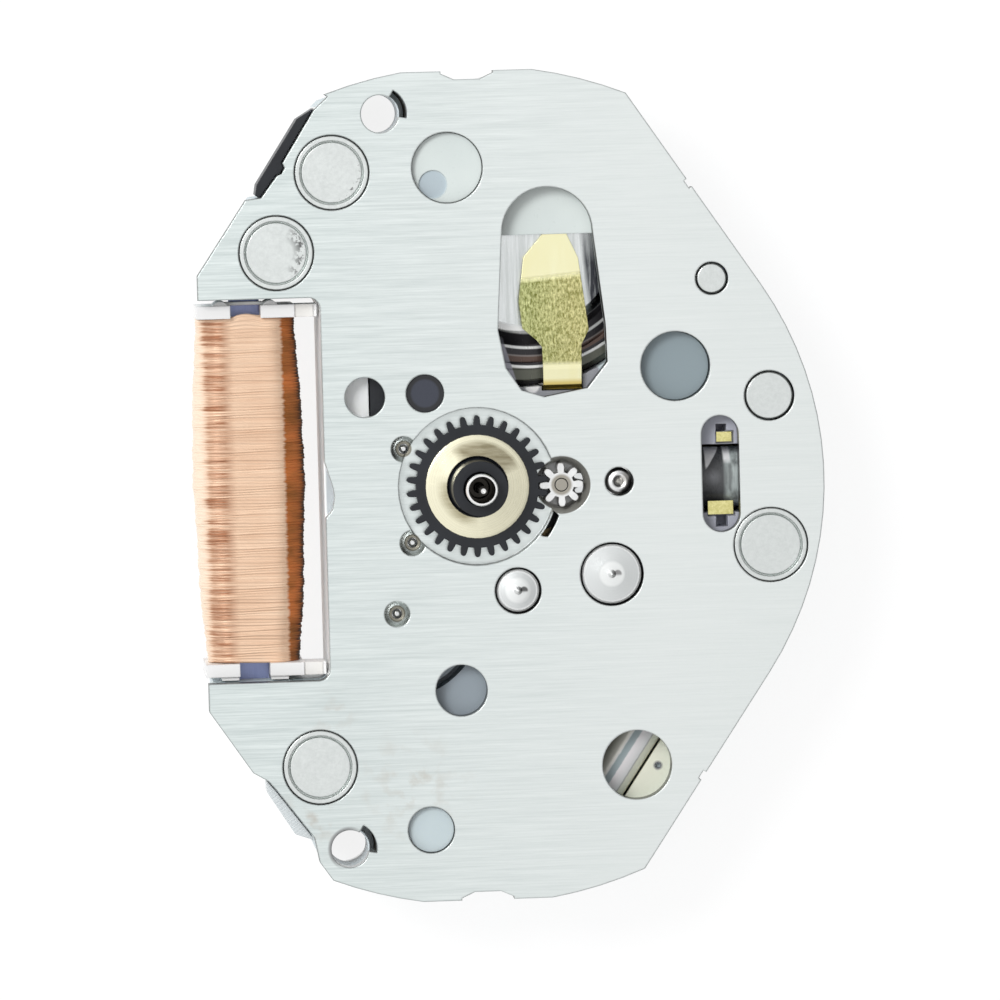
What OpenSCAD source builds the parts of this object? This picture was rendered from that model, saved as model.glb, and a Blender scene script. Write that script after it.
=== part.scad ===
// Three-hand quartz watch movement, 6 3/4 by 8 lignes, seen with its dial side up.
// The origin is on the centre arbors, in the plane that the dial rests on. +X points to 3 o'clock.

/* [Base plate] */
// Thickness of the base plate
plate_t = 0.40; // [0.36:0.02:0.44]
// Radius of the plate at its corners
plate_r = 9.15; // [9.10:0.05:9.30]
// Distance from the centre to the flats at 12 and 6 o'clock
flat_y = 9.04; // [8.96:0.02:9.08]
// Radius of the plate at 3 o'clock
side_r = 7.60; // [7.50:0.05:7.80]
// Angle at which the side arc becomes a straight flank
flank_a = 34; // [32:1:36]
// Distance from the centre to the cut at 9 o'clock
left_cut = 5.97; // [5.90:0.01:6.05]
// Depth of the hour wheel recess
recess_d = 0.25; // [0.22:0.01:0.28]
// Radius of the hour wheel recess
recess_r = 1.72; // [1.66:0.02:1.76]
// Depth of the notches at 12 and 6 o'clock
notch_d = 0.18; // [0.12:0.02:0.24]
// Width of the notch floors
notch_w = 0.57; // [0.45:0.03:0.66]
// Radius of the oil sinks round the train pivots
sink_r = 0.29; // [0.26:0.01:0.32]
// Radius of the groove in the head of each pressed pillar
groove_r = 0.67; // [0.60:0.01:0.70]

/* [Heights] */
// Height of the whole movement below the dial
height = 3.15; // [3.10:0.05:3.25]
// Thickness of the circuit cover
cover_t = 0.25; // [0.22:0.01:0.28]
// Thickness of the circuit board
board_t = 0.15; // [0.12:0.01:0.18]
// Thickness of the train bridge
bridge_t = 0.45; // [0.40:0.01:0.50]
// Depth of the motion works below the dial
works_z = 0.92; // [0.92:0.01:0.95]
// Depth of the black support below the dial
support_z = 1.18; // [1.16:0.01:1.18]

/* [Battery] */
// Battery diameter
battery_d = 6.80; // [6.70:0.05:6.80]
// Battery height
battery_h = 2.60; // [2.55:0.01:2.60]
// Battery centre from the centre arbors, towards 3 o'clock
battery_x = 1.11; // [1.05:0.01:1.15]
// Battery centre from the centre arbors, towards 12 o'clock
battery_y = 5.54; // [5.50:0.01:5.56]
// Radius of the flat of the negative cap
cap_flat_r = 2.20; // [2.10:0.05:2.30]

/* [Going train] */
// Thickness of the train wheels
wheel_t = 0.11; // [0.08:0.01:0.12]
// Radius of the train arbors
arbor_r = 0.12; // [0.10:0.01:0.13]
// Radius of the pivots that turn in the plate and the bridge
pivot_r = 0.09; // [0.08:0.01:0.10]
// Rotor magnet radius
magnet_r = 0.60; // [0.52:0.02:0.64]
// Rotor magnet length
magnet_h = 0.45; // [0.40:0.05:0.50]

/* [Motion works] */
// Teeth of the hour wheel
hour_teeth = 30; // [30]
// Leaves of the minute pinion
minute_leaves = 8; // [8]
// Teeth of the minute wheel
minute_teeth = 32; // [32]
// Leaves of the cannon pinion
cannon_leaves = 10; // [10]
// Teeth of the setting wheel
setting_teeth = 18; // [18]
// Radius of the hour hand seat
hour_seat_r = 0.60; // [0.58:0.01:0.62]
// Radius of the minute hand seat
minute_seat_r = 0.35; // [0.33:0.01:0.35]
// Radius of the seconds hand seat
seconds_seat_r = 0.10; // [0.09:0.005:0.10]
// Height of the hour pipe above the dial seat
hour_top = 0.95; // [0.85:0.05:1.00]
// Height of the cannon pinion above the dial seat
minute_top = 1.40; // [1.30:0.05:1.45]
// Height of the seconds arbor above the dial seat
seconds_top = 1.80; // [1.70:0.05:1.90]
// Outer radius of the dial washer
washer_r = 1.13; // [1.05:0.02:1.20]

/* [Coil] */
// Distance of the coil axis from the centre arbors
coil_x = 4.93; // [4.93:0.01:4.95]
// Length of the winding
coil_len = 7.53; // [7.33:0.04:7.57]
// Width of the winding at its middle
coil_w_mid = 2.46; // [2.36:0.02:2.50]
// Width of the winding at its upper end
coil_w_top = 2.18; // [2.10:0.02:2.24]
// Width of the winding at its lower end
coil_w_low = 2.02; // [1.96:0.02:2.10]
// Height of the winding
coil_h = 2.10; // [2.00:0.05:2.15]
// Width of the soft iron core
core_w = 0.66; // [0.60:0.02:0.70]
// Thickness of the core and of the stator
iron_t = 0.30; // [0.26:0.02:0.30]

/* [Keyless works] */
// Depth of the stem axis below the dial seat
stem_z = 1.15; // [1.15:0.01:1.17]
// Radius of the stem bore
stem_r = 0.32; // [0.30:0.01:0.34]
// Radius of the clutch wheel
clutch_r = 0.66; // [0.64:0.01:0.67]
// Travel of the clutch wheel
clutch_travel = 0.30; // [0.26:0.01:0.30]
// Width of the square bore of the clutch wheel
clutch_square = 0.50; // [0.44:0.02:0.54]

/* [Pillars, screws and dial feet] */
// Radius of the pressed pillars in the plate
pillar_head_r = 0.82; // [0.80:0.01:0.84]
// Radius of the pillars below the plate
pillar_r = 0.50; // [0.46:0.01:0.52]
// Radius of the screw shanks
screw_r = 0.20; // [0.17:0.01:0.22]
// Radius of the screw heads
screw_head_r = 0.48; // [0.44:0.01:0.52]
// Radius of the dial foot bores
foot_r = 0.41; // [0.39:0.01:0.43]
// Distance of the dial foot bores from the centre arbors
foot_circle = 8.375; // [8.36:0.005:8.39]

/* [Fits] */
// Radial clearance of turning and sliding pieces
run_gap = 0.02; // [0.02:0.005:0.03]
// Clearance round pieces that are set in pockets
set_gap = 0.03; // [0.02:0.01:0.04]
// Clearance between layers that turn past each other
layer_gap = 0.05; // [0.05:0.005:0.06]

/* [Hidden] */
$fn = 64;
eps = 0.01;

// Heights of the layers, counted down from the dial seat
board_z = height - cover_t - board_t;
cover_z = height - cover_t;
bridge_z = cover_z - bridge_t;
frame_inset = 0.12;
core_z = 1.25;
stator_z = core_z + iron_t;
minute_gear_z = works_z - layer_gap - wheel_t - 0.02;
setting_wheel_z = plate_t + layer_gap;
setting_wheel_t = 0.16;
centre_z = support_z + layer_gap;
seconds_z = 1.60;
third_z = 1.98;
fifth_z = 2.20;
magnet_z = stator_z + iron_t / 2 - magnet_h / 2;

// Places of the arbors and of what is set in the plate
origin_p = [0, 0];
third_p = [-1.58, 0.86];
fifth_p = [-1.44, -1.19];
rotor_p = [-1.82, -2.73];
minute_p = [1.84, -0.02];
setting_p = [3.10, 0.02];
pillar_ps = [[-2.99, 6.91], [-4.24, 5.20], [-3.59, -6.02], [6.39, -1.46]];
coil_pillars = [pillar_ps[1], pillar_ps[2]];
cover_pillars = [pillar_ps[0], pillar_ps[3]];
big_post = [2.89, -2.00];
small_post = [0.83, -2.30];
big_post_r = 0.695;
small_post_r = 0.51;
post_ring = 0.045;
head_gap = 0.015;
pin_gap = 0.03;
lever_pin = [6.43, 1.80];
lever_pin_r = 0.55;
yoke_pin = [5.23, 4.39];
yoke_pin_r = 0.36;
foot_angles = [103.2, -110.9];
foot_ps = [for (a = foot_angles) foot_circle * [cos(a), sin(a)]];
socket_wall = 0.155;
plug_p = [-1.09, 2.06];
plug_r = 0.415;
window_ps = [[-0.48, 6.95], [4.39, 2.50], [-0.46, -4.44], [-1.20, -7.47], [3.34, -6.19], [-2.40, 2.01]];
window_rs = [0.775, 0.76, 0.565, 0.51, 0.76, 0.435];
insulator_window = 0;
boss_z = 0.14;
// The windows that a boss of the frame fills, each with the depth of the boss
bosses = [[1, 0.28], [3, boss_z]];
boss_mark = [-0.79, 6.59];
boss_mark_r = 0.31;
crystal_window = 4;
pad_z = 0.85;
flank_end = sqrt(plate_r * plate_r - side_r * side_r);
edge_piece_z = 1.2;
// The plate's edge beside the spacer and the tab: how far from the flank's end, and how far in from the flank
spacer_edge = [
    [-0.30, 0.30], [0.11, 0.20], [1.44, 0.245], [1.50, 0.34], [1.64, 0.355], [1.74, 0.29],
    [2.325, 0.26], [2.545, 0]
];
spacer_side = [[2.345, 0.24], [2.335, 0.12], [2.135, 0.03], [0.465, 0], [0.075, 0.18]];
tab_edge = [[-0.30, 0.05], [0.425, 0.04], [0.93, 0.257], [2.265, 0.192], [2.525, 0.163], [2.87, 0]];
tab_side = [[2.50, 0.11], [2.31, -0.005], [1.225, -0.038], [0.90, 0.20]];
step_from_end = 2.40;
step_w = 0.20;
step_d = 0.07;
battery_p = [battery_x, battery_y];
chip_p = [-0.40, -6.30];
chip_size = [2.4, 1.9];
chip_z = 2.20;
crystal_p = [2.85, -6.24];
crystal_a = 90 - flank_a;
crystal_r = 0.60;
crystal_len = 4.6;
lead_r = 0.08;
lead_len = 0.35;
lead_y = 0.20;
contact_z = 0.62;
head_t = 0.15;
screw_len = 0.8;
bridge_head_r = 0.38;
neck_r = 0.30;
seal_w = 0.13;
wind_top = 3.79;
flange_t = 0.28;
tube_wall = 0.15;
lug_w = 0.38;
lug_z = 0.42;
flange_w = 2.14;
pad_top = 0.45;
bridge_top = 0.80;
socket_z = 1.4;
foot_way_r = 0.58;
post_pin_r = 0.13;
hub_r = 0.24;
waist_r = 0.085;
waist_z = 0.83;
pipe_bore_r = 0.29;
foot_cone_r = 0.65;
foot_cone_h = 0.18;
centre_tube_r = minute_seat_r - 0.135;
hour_gear_z = 0.05;
hour_gear_t = 0.15;
clutch_x = 4.35;
clutch_len = 1.70;
groove_from = 0.15;
groove_to = 0.43;
groove_deep = 0.21;
lever_t = 0.20;
lever_z = 2.10;
yoke_z = 2.40;
finger = [0.20, 0.34];
lever_foot_x = 6.28;
minute_hole_r = 0.63;
minute_floor_r = 0.51;
slot_wide = 0.18;
boss_gap = 0.012;
setting_hole_r = 0.315;
slot_r = 0.41;
slot_x = 5.33;
slot_ys = [-0.74, 0.99];
coil_right = 3.32;
coil_top = 4.21;
coil_low = 4.13;
window_corner = 0.25;
// The bulge of the coil's window beside the middle of the coil, from the window's edge
window_bulge = [[-0.02, 0.70], [0.17, 0.07], [0.20, -0.15], [0.15, -0.41], [-0.02, -0.62]];
wind_flat = 0.66;
wind_slope = 0.42;

// Tooth sizes follow from the centre distances
function dist(a, b) = norm(b - a);
function angle_to(a, b) = atan2(b[1] - a[1], b[0] - a[0]);
hour_mod = 2 * norm(minute_p) / (hour_teeth + minute_leaves);
works_mod = 2 * norm(minute_p) / (minute_teeth + cannon_leaves);
fifth_teeth = 48;
rotor_leaves = 8;
fifth_leaves = 12;
seconds_teeth = 60;
seconds_leaves = 8;
third_teeth = 60;
third_leaves = 8;
centre_teeth = 64;
rotor_mod = 2 * dist(rotor_p, fifth_p) / (fifth_teeth + rotor_leaves);
fifth_mod = 2 * norm(fifth_p) / (seconds_teeth + fifth_leaves);
third_mod = 2 * norm(third_p) / (third_teeth + seconds_leaves);
centre_mod = 2 * norm(third_p) / (centre_teeth + third_leaves);

// Rooms for the wheels, clear of their teeth, and for what stands beside them
function wheel_r(teeth, mod) = (teeth / 2 + 1) * mod;
post_room_r = 0.80;
train_rooms = [
    [origin_p, wheel_r(centre_teeth, centre_mod) + 0.35], [third_p, wheel_r(third_teeth, third_mod) + 0.16],
    [fifth_p, wheel_r(fifth_teeth, rotor_mod) + 0.33], [rotor_p, magnet_r + 0.85],
    [small_post, post_room_r], [big_post, post_room_r + 0.15]
];
minute_room_r = wheel_r(minute_teeth, works_mod) + layer_gap;
setting_room_r = wheel_r(setting_teeth, hour_mod) + layer_gap;
works_wall = 0.13;

// Angle of a wheel's first tooth, so that it meshes with a wheel whose first tooth is at phase
function mesh_phase(phase, teeth_a, teeth_b, direction) =
    direction + 180 - (0.5 - (direction - phase) * teeth_a / 360) * 360 / teeth_b;
hour_phase = 4.9;
minute_pinion_phase = mesh_phase(hour_phase, hour_teeth, minute_leaves, angle_to(origin_p, minute_p));
minute_wheel_phase = mesh_phase(0, cannon_leaves, minute_teeth, angle_to(origin_p, minute_p));
setting_phase =
    mesh_phase(minute_pinion_phase, minute_leaves, setting_teeth, angle_to(minute_p, setting_p));
fifth_pinion_phase = mesh_phase(0, seconds_teeth, fifth_leaves, angle_to(origin_p, fifth_p));
rotor_phase = mesh_phase(0, fifth_teeth, rotor_leaves, angle_to(fifth_p, rotor_p));
third_phase = mesh_phase(0, seconds_leaves, third_teeth, angle_to(origin_p, third_p));
centre_phase = mesh_phase(0, third_leaves, centre_teeth, angle_to(third_p, origin_p));

// One tooth as angles and radii round the wheel's centre, with a round or a flat tip
function tooth(a, teeth, mod, round_tip, fat) =
    let (r = teeth * mod / 2, pitch = 360 / teeth, add = 0.95 * mod, ded = 1.15 * mod)
    round_tip
        ? [
            [a - (0.27 + fat) * pitch, r - ded],
            [a - (0.22 + fat) * pitch, r],
            [a - 0.17 * pitch, r + 0.65 * add],
            [a - 0.09 * pitch, r + 0.95 * add],
            [a, r + add],
            [a + 0.09 * pitch, r + 0.95 * add],
            [a + 0.17 * pitch, r + 0.65 * add],
            [a + (0.22 + fat) * pitch, r],
            [a + (0.27 + fat) * pitch, r - ded]
        ]
        : [
            [a - 0.27 * pitch, r - ded],
            [a - 0.10 * pitch, r + add],
            [a + 0.10 * pitch, r + add],
            [a + 0.27 * pitch, r - ded]
        ];

module gear(teeth, mod, t, phase = 0, round_tip = false, fat = 0) {
    polar = [for (i = [0 : teeth - 1]) each tooth(phase + i * 360 / teeth, teeth, mod, round_tip, fat)];
    linear_extrude(t) polygon([for (p = polar) p[1] * [cos(p[0]), sin(p[0])]]);
}

// A cylinder that runs down from one depth to another
module drum(p, r, from, to) {
    translate([p[0], p[1], -to]) cylinder(r = r, h = to - from);
}

// A flat outline that runs down from one depth to another
module slab(from, to) {
    translate([0, 0, -to]) linear_extrude(to - from) children();
}

module spot(p, r) {
    translate(p) circle(r);
}

// The half of the plane below a line at a distance from the centre, square to an angle
module half_plane(a, d) {
    far = 3 * plate_r;
    rotate(a) translate([d - far, -far]) square([far, 2 * far]);
}

// The outline that all the flat parts share, drawn in by an inset
module plan(inset) {
    tangent_x = (side_r - inset) * cos(flank_a);
    intersection() {
        circle(plate_r - inset, $fn = 128);
        translate([-left_cut + inset, -flat_y + inset])
            square([left_cut + plate_r, 2 * (flat_y - inset)]);
        union() {
            circle(side_r - inset, $fn = 128);
            half_plane(0, tangent_x);
        }
        half_plane(flank_a, side_r - inset);
        half_plane(-flank_a, side_r - inset);
        half_plane(180 - flank_a, side_r - inset);
        half_plane(180 + flank_a, side_r - inset);
    }
}

// A straight bar with round ends
module bar(a, b, w) {
    translate(a) rotate(angle_to(a, b)) translate([0, -w / 2]) square([dist(a, b), w]);
    spot(a, w / 2);
    spot(b, w / 2);
}

// The window that the coil lies in, open towards 9 o'clock
module coil_window(grow = 0) {
    c = window_corner;
    x = -coil_right + grow;
    translate([-plate_r, -coil_low - grow]) square([plate_r + x - c, coil_low + coil_top + 2 * grow]);
    translate([-plate_r, -coil_low - grow + c])
        square([plate_r + x, coil_low + coil_top + 2 * grow - 2 * c]);
    spot([x - c, coil_top + grow - c], c);
    spot([x - c, -coil_low - grow + c], c);
}

// The slot over the battery's negative contact
module contact_slot() {
    spot([1.665, 5.49], 0.995);
    polygon([
        [0.67, 5.50], [0.54, 3.39], [0.69, 2.56], [1.02, 2.07], [1.52, 1.91],
        [2.46, 2.08], [2.91, 2.64], [2.89, 3.44], [2.66, 5.50]
    ]);
}

// The notches at 12 and 6 o'clock, which open out at the edge
module edge_notches() {
    for (s = [-1, 1])
        polygon([
            [-notch_w, s * plate_r], [-notch_w, s * (flat_y - 0.05)], [-notch_w / 2, s * (flat_y - notch_d)],
            [notch_w / 2, s * (flat_y - notch_d)], [notch_w, s * (flat_y - 0.05)], [notch_w, s * plate_r]
        ]);
    for (s = [-1, 1])
        rotate(s * flank_a) translate([side_r - step_d, s * (flank_end - step_from_end) - step_w / 2])
            square([2 * step_d, step_w]);
}

// Cone-shaped oil sinks, with the pivot holes in their floors
module pivot_sinks() {
    floor_r = 0.16;
    floor_z = 0.20;
    for (p = [third_p, fifth_p, rotor_p]) {
        translate([p[0], p[1], -floor_z]) cylinder(r1 = floor_r, r2 = sink_r, h = floor_z + eps);
        drum(p, pivot_r + run_gap, 0, plate_t + eps);
    }
}

// The slit beside the hour wheel recess
module recess_slit() {
    difference() {
        intersection() {
            spot([1.50, -0.84], 0.30);
            spot(origin_p, recess_r + 0.17);
        }
        spot(origin_p, recess_r + 0.03);
    }
}

// The crescent slots beside the dial foot bores
module foot_slots() {
    for (p = foot_ps) translate(p) intersection() {
        circle(foot_r + slot_wide);
        polygon([[0, 0], [2, -0.35], [2, 2], [1.2, 2]]);
    }
}

module base_plate() {
    color("silver") difference() {
        slab(0, plate_t) difference() {
            plan(0);
            coil_window();
            translate([-coil_right, 0]) polygon(window_bulge);
            contact_slot();
            edge_notches();
            bar([slot_x, slot_ys[0]], [slot_x, slot_ys[1]], 2 * slot_r);
            for (i = [0 : len(window_ps) - 1]) spot(window_ps[i], window_rs[i]);
            for (p = pillar_ps) spot(p, pillar_head_r);
            spot(big_post, big_post_r);
            spot(small_post, small_post_r);
            spot(lever_pin, lever_pin_r);
            spot(yoke_pin, yoke_pin_r);
            spot(plug_p, plug_r);
            spot(setting_p, setting_hole_r);
            spot(origin_p, minute_seat_r + run_gap);
            for (p = foot_ps) spot(p, foot_r);
            foot_slots();
            recess_slit();
            flank_cut(180 - flank_a, -1, spacer_edge);
            flank_cut(180 + flank_a, 1, tab_edge);
        }
        drum(origin_p, recess_r, -eps, recess_d);
        translate([minute_p[0], minute_p[1], -plate_t - eps])
            cylinder(r1 = minute_floor_r, r2 = minute_hole_r, h = plate_t + 2 * eps);
        pivot_sinks();
    }
}

// Room for the wheels: a circle round each arbor, clear of the teeth
module train_room(inset = 0) {
    intersection() {
        union() {
            for (q = train_rooms) spot(q[0], q[1] - inset);
            bar(small_post, big_post, 2 * (post_room_r - inset));
        }
        half_plane(180, coil_right - 0.10 - inset);
    }
}

// Room for the motion works on the dial side
module works_room(inset = 0) {
    intersection() {
        union() {
            train_room(inset);
            spot(minute_p, minute_room_r + works_wall - inset);
            spot(setting_p, setting_room_r + works_wall - inset);
        }
        half_plane(180, 2.3 - inset);
    }
}

// Room for the levers on the back side
module lever_room() {
    polygon([
        [4.08, -0.95], [6.92, -0.95], [6.92, 2.40], [5.90, 5.00], [4.90, 5.00], [4.75, 3.20], [4.08, 2.00]
    ]);
    spot(lever_pin, 0.68);
    spot(yoke_pin, 0.70);
}

// The way of the stop lever from its pillar to the seconds wheel
module stop_lever_room() {
    bar(pillar_ps[3], [3.0, -0.70], 1.3);
    bar([3.0, -0.75], [1.6, -0.95], 1.2);
    spot(pillar_ps[3], 0.80);
}

// The channel that the clutch wheel slides in
module clutch_room() {
    side = clutch_r + 0.09;
    translate([clutch_x - clutch_travel - 0.15, -side, -stem_z - 0.80])
        cube([clutch_travel + clutch_len + 0.35, 2 * side, stem_z + 0.80]);
}

// The flat outline of the circuit board
module board_shape(inset = 0) {
    difference() {
        intersection() {
            plan(0.35 + inset);
            half_plane(90, 2.2 - inset);
        }
        spot(battery_p, battery_d / 2 + 0.10 + inset);
        train_room(-0.12 - inset);
        translate([-coil_right, 0]) square([coil_right + 1.3 + inset, 3]);
        translate([-coil_right, -2.6]) square([0.7 + inset, 3]);
        coil_window(0.15 + inset);
    }
}

// A bar of the crystal's outline, from above
module crystal_shape(gap) {
    along = crystal_len / 2 * [cos(crystal_a), sin(crystal_a)];
    bar(crystal_p - along, crystal_p + along, 2 * (crystal_r + gap));
    spot(crystal_p + along * 1.22, 0.35 + gap);
}

// An outline beside a flank, from points that count along the flank from its end, and in from it
module flank_patch(a, end, points) {
    rotate(a) polygon([for (q = points) [side_r - q[1], end * (flank_end - q[0])]]);
}

// What is cut off the plate along a flank
module flank_cut(a, end, edge) {
    out = -1;
    flank_patch(a, end, concat([[edge[0][0], out]], edge, [[edge[len(edge) - 1][0], out]]));
}

// The points of the plate's edge, moved out by a gap, between two distances from the flank's end
function beside(edge, from, to, gap) = [for (q = edge) if (q[0] >= from && q[0] <= to) [q[0], q[1] - gap]];

module spacer_shape() {
    flank_patch(180 - flank_a, -1, concat(beside(spacer_edge, 0.10, 2.33, set_gap), spacer_side));
}

module tab_shape() {
    flank_patch(180 + flank_a, 1, concat(beside(tab_edge, 0.90, 2.53, set_gap), tab_side));
}

module main_frame() {
    color("gainsboro") difference() {
        slab(plate_t, cover_z) difference() {
            plan(frame_inset);
            coil_window();
            spot(battery_p, battery_d / 2 + set_gap);
            for (p = foot_ps) spot(p, foot_r + socket_wall);
            for (p = pillar_ps) spot(p, pillar_r);
            for (p = coil_pillars) spot(p, pillar_r + 0.05);
            for (p = [lever_pin, yoke_pin]) spot(p, yoke_pin_r - pin_gap);
            for (s = [-1, 1]) translate([0, s * flat_y])
                square([4 * notch_w, 2 * notch_d + 0.16], center = true);
            flank_cut(180 - flank_a, -1, spacer_edge);
            flank_cut(180 + flank_a, 1, tab_edge);
        }
        slab(plate_t - eps, plate_t + 0.6) foot_slots();
        for (p = foot_ps) drum(p, foot_way_r, socket_z, cover_z + eps);
        slab(plate_t - eps, 1.1) intersection() {
            difference() {
                spot(rotor_p, 1.90);
                spot(rotor_p, 1.74);
            }
            spot(window_ps[2], window_rs[2] + 0.1);
        }
        slab(support_z - eps, cover_z + eps) train_room();
        slab(plate_t - eps, support_z) works_room();
        slab(board_z, cover_z + eps) board_shape(-set_gap);
        slab(core_z, stator_z) core_shape();
        slab(stator_z - eps, stator_z + iron_t) stator_shape();
        clutch_room();
        translate([4.0, 0, -stem_z]) rotate([0, 90, 0]) cylinder(r = stem_r, h = plate_r);
        slab(1.94, board_z + eps) lever_room();
        slab(stem_z + stem_r + 0.02, 1.95) translate([6.1, -0.3]) square([0.88, 0.6]);
        slab(1.50, board_z + eps) stop_lever_room();
        slab(plate_t + 0.05, board_z + eps) crystal_shape(0.1);
        slab(plate_t - eps, pad_z + 0.12) spot(window_ps[crystal_window], window_rs[crystal_window] + 0.1);
        slab(chip_z - 0.1, board_z + eps) translate(chip_p) square(chip_size + [0.2, 0.2], center = true);
        slab(plate_t - eps, board_z + eps) translate([1.49, 2.03]) square([0.90, 0.37]);
        slab(plate_t - eps, contact_z) contact_strips(set_gap);
        slab(plate_t - eps, 1.1) {
            translate([5.28, 1.02]) square([0.23, 0.17]);
            translate([5.24, -1.06]) square([0.26, 0.25]);
        }
        slab(1.5, cover_z + eps) clamp_shape(0.05);
    }
    color("gainsboro") for (q = bosses)
        drum(window_ps[q[0]], window_rs[q[0]] - boss_gap, q[1], plate_t + eps);
}

module train_support() {
    color("dimgray") difference() {
        slab(plate_t, support_z) difference() {
            works_room(set_gap);
            for (p = [third_p, fifth_p, rotor_p]) spot(p, arbor_r + 0.04);
            spot(origin_p, centre_tube_r + run_gap);
            spot(minute_p, post_pin_r);
            spot(big_post, big_post_r - post_ring);
            spot(small_post, small_post_r - post_ring);
        }
        slab(plate_t - eps, works_z) {
            spot(minute_p, minute_room_r);
            spot(setting_p, setting_room_r);
            spot(origin_p, wheel_r(cannon_leaves, works_mod) + layer_gap);
        }
        clutch_room();
    }
}

module train_bridge() {
    color("lightgray") difference() {
        slab(bridge_z, cover_z) difference() {
            train_room(set_gap);
            for (p = [origin_p, third_p, fifth_p, rotor_p]) spot(p, pivot_r + run_gap);
            for (p = [big_post, small_post]) spot(p, screw_r);
        }
        for (p = [origin_p, third_p, fifth_p, rotor_p]) drum(p, sink_r, cover_z - 0.15, cover_z + eps);
        for (p = [big_post, small_post]) drum(p, bridge_head_r + set_gap, cover_z - 0.20, cover_z + eps);
    }
}

module circuit_board() {
    color("darkkhaki") slab(board_z, cover_z) difference() {
        board_shape();
        for (p = cover_pillars) spot(p, pillar_r + set_gap);
        for (p = foot_ps) spot(p, foot_way_r);
        for (p = lead_ps()) spot(p, lead_r + 0.02);
    }
}

module circuit_cover() {
    color("silver") difference() {
        slab(cover_z, height) difference() {
            plan(0.25);
            spot(battery_p, battery_d / 2 + 0.12);
            translate(battery_p) square(plate_r);
            translate(foot_ps[0] - [0, foot_way_r]) square([battery_x - foot_ps[0][0], plate_r]);
            coil_window(0.12);
            train_room(0.5);
            for (p = cover_pillars) spot(p, screw_r + set_gap);
            for (p = foot_ps) spot(p, foot_way_r);
        }
        for (p = cover_pillars) drum(p, screw_head_r + set_gap, height - head_t, height + eps);
    }
}

// The battery: a can, a cap set in a sealing ring
module battery_can() {
    r = battery_d / 2;
    color("lightgray") at_battery() rotate_extrude($fn = 128) polygon([
        [0, 0], [r - 0.08, 0], [r, 0.08], [r, battery_h - 0.40], [r - 0.12, battery_h - 0.25],
        [r - seal_w - 0.22, battery_h - 0.25], [r - seal_w - 0.22, battery_h - 0.45], [0, battery_h - 0.45]
    ]);
}

module battery_gasket() {
    r = battery_d / 2 - seal_w - 0.22;
    color("dimgray") at_battery() rotate_extrude($fn = 128)
        translate([r - seal_w, battery_h - 0.45]) square([seal_w, 0.24]);
}

module battery_cap() {
    r = battery_d / 2 - 2 * seal_w - 0.22;
    color("silver") at_battery() rotate_extrude($fn = 128) polygon([
        [0, battery_h - 0.45], [r, battery_h - 0.45], [r, battery_h - 0.31],
        [cap_flat_r + 0.32, battery_h - 0.25], [cap_flat_r, battery_h], [0, battery_h]
    ]);
}

module at_battery() {
    translate([battery_x, battery_y, -height]) children();
}

module battery_insulator() {
    color("aliceblue") slab(plate_t, plate_t + 0.07) difference() {
        intersection() {
            spot(battery_p, battery_d / 2);
            plan(frame_inset);
        }
        intersection() {
            contact_slot();
            half_plane(90, 5.44);
        }
        for (p = foot_ps) spot(p, foot_r + socket_wall + set_gap);
    }
    color("aliceblue") difference() {
        drum(window_ps[insulator_window], window_rs[insulator_window] - boss_gap, boss_z, plate_t + eps);
        drum(boss_mark, boss_mark_r, 0, boss_z + 0.04);
    }
}

// The negative contact: a leaf cut to its outline, bent to its side profile
module negative_contact() {
    low = height - battery_h;
    t = 0.08;
    tip_y = 5.46;
    leg_y = 2.055;
    color("goldenrod") intersection() {
        rotate([90, 0, 90]) linear_extrude(4) polygon([
            [tip_y, -low], [tip_y, -low + t], [tip_y - 0.55, -low + t + 0.03], [3.3, -0.27], [2.5, -0.22],
            [leg_y + 0.1, -0.27], [leg_y, -0.36], [leg_y, -board_z], [leg_y + t, -board_z],
            [leg_y + t, -0.40], [leg_y + 0.14, -0.35], [2.5, -0.30], [3.3, -0.35], [tip_y - 0.55, -low + 0.03]
        ]);
        slab(0, height) polygon([
            [1.60, tip_y], [2.11, tip_y], [2.36, 4.91], [2.54, 3.34], [2.37, 3.02], [2.35, 1.90],
            [1.52, 1.90], [1.51, 2.98], [1.40, 3.13], [1.09, 3.40], [1.03, 4.00], [1.16, 4.95]
        ]);
    }
}

// The positive contact: a leaf along the side of the can, with its foot on the cover
module clamp_shape(gap = 0) {
    r = battery_d / 2;
    intersection() {
        difference() {
            spot(battery_p, r + set_gap + 0.10 + gap);
            spot(battery_p, r + (gap > 0 ? 0 : set_gap));
        }
        polygon([
            battery_p, battery_p + 6 * [cos(-34 - 20 * gap), sin(-34 - 20 * gap)],
            battery_p + 6 * [cos(6 + 20 * gap), sin(6 + 20 * gap)]
        ]);
    }
}

module positive_contact() {
    color("goldenrod") slab(1.6, cover_z) clamp_shape();
}

module chip_cap() {
    color("dimgray") slab(chip_z, board_z) translate(chip_p) square(chip_size, center = true);
}

// Places where the crystal's leads go into the board
function lead_ps() =
    let (along = [cos(crystal_a), sin(crystal_a)], side = [-sin(crystal_a), cos(crystal_a)])
    [for (s = [-1, 1]) crystal_p + (crystal_len / 2 + lead_len) * along + s * lead_y * side];

module quartz_crystal() {
    can_z = plate_t + 0.10 + crystal_r;
    color("silver") translate([crystal_p[0], crystal_p[1], -can_z]) rotate([0, 90, crystal_a])
        translate([0, 0, -crystal_len / 2]) {
            cylinder(r = crystal_r, h = crystal_len);
            for (s = [-1, 1]) translate([0, s * lead_y, crystal_len - eps])
                cylinder(r = lead_r, h = lead_len + eps);
        }
    color("silver") for (p = lead_ps()) drum(p, lead_r + 0.02, can_z - lead_r - 0.02, board_z + 0.08);
}

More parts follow.
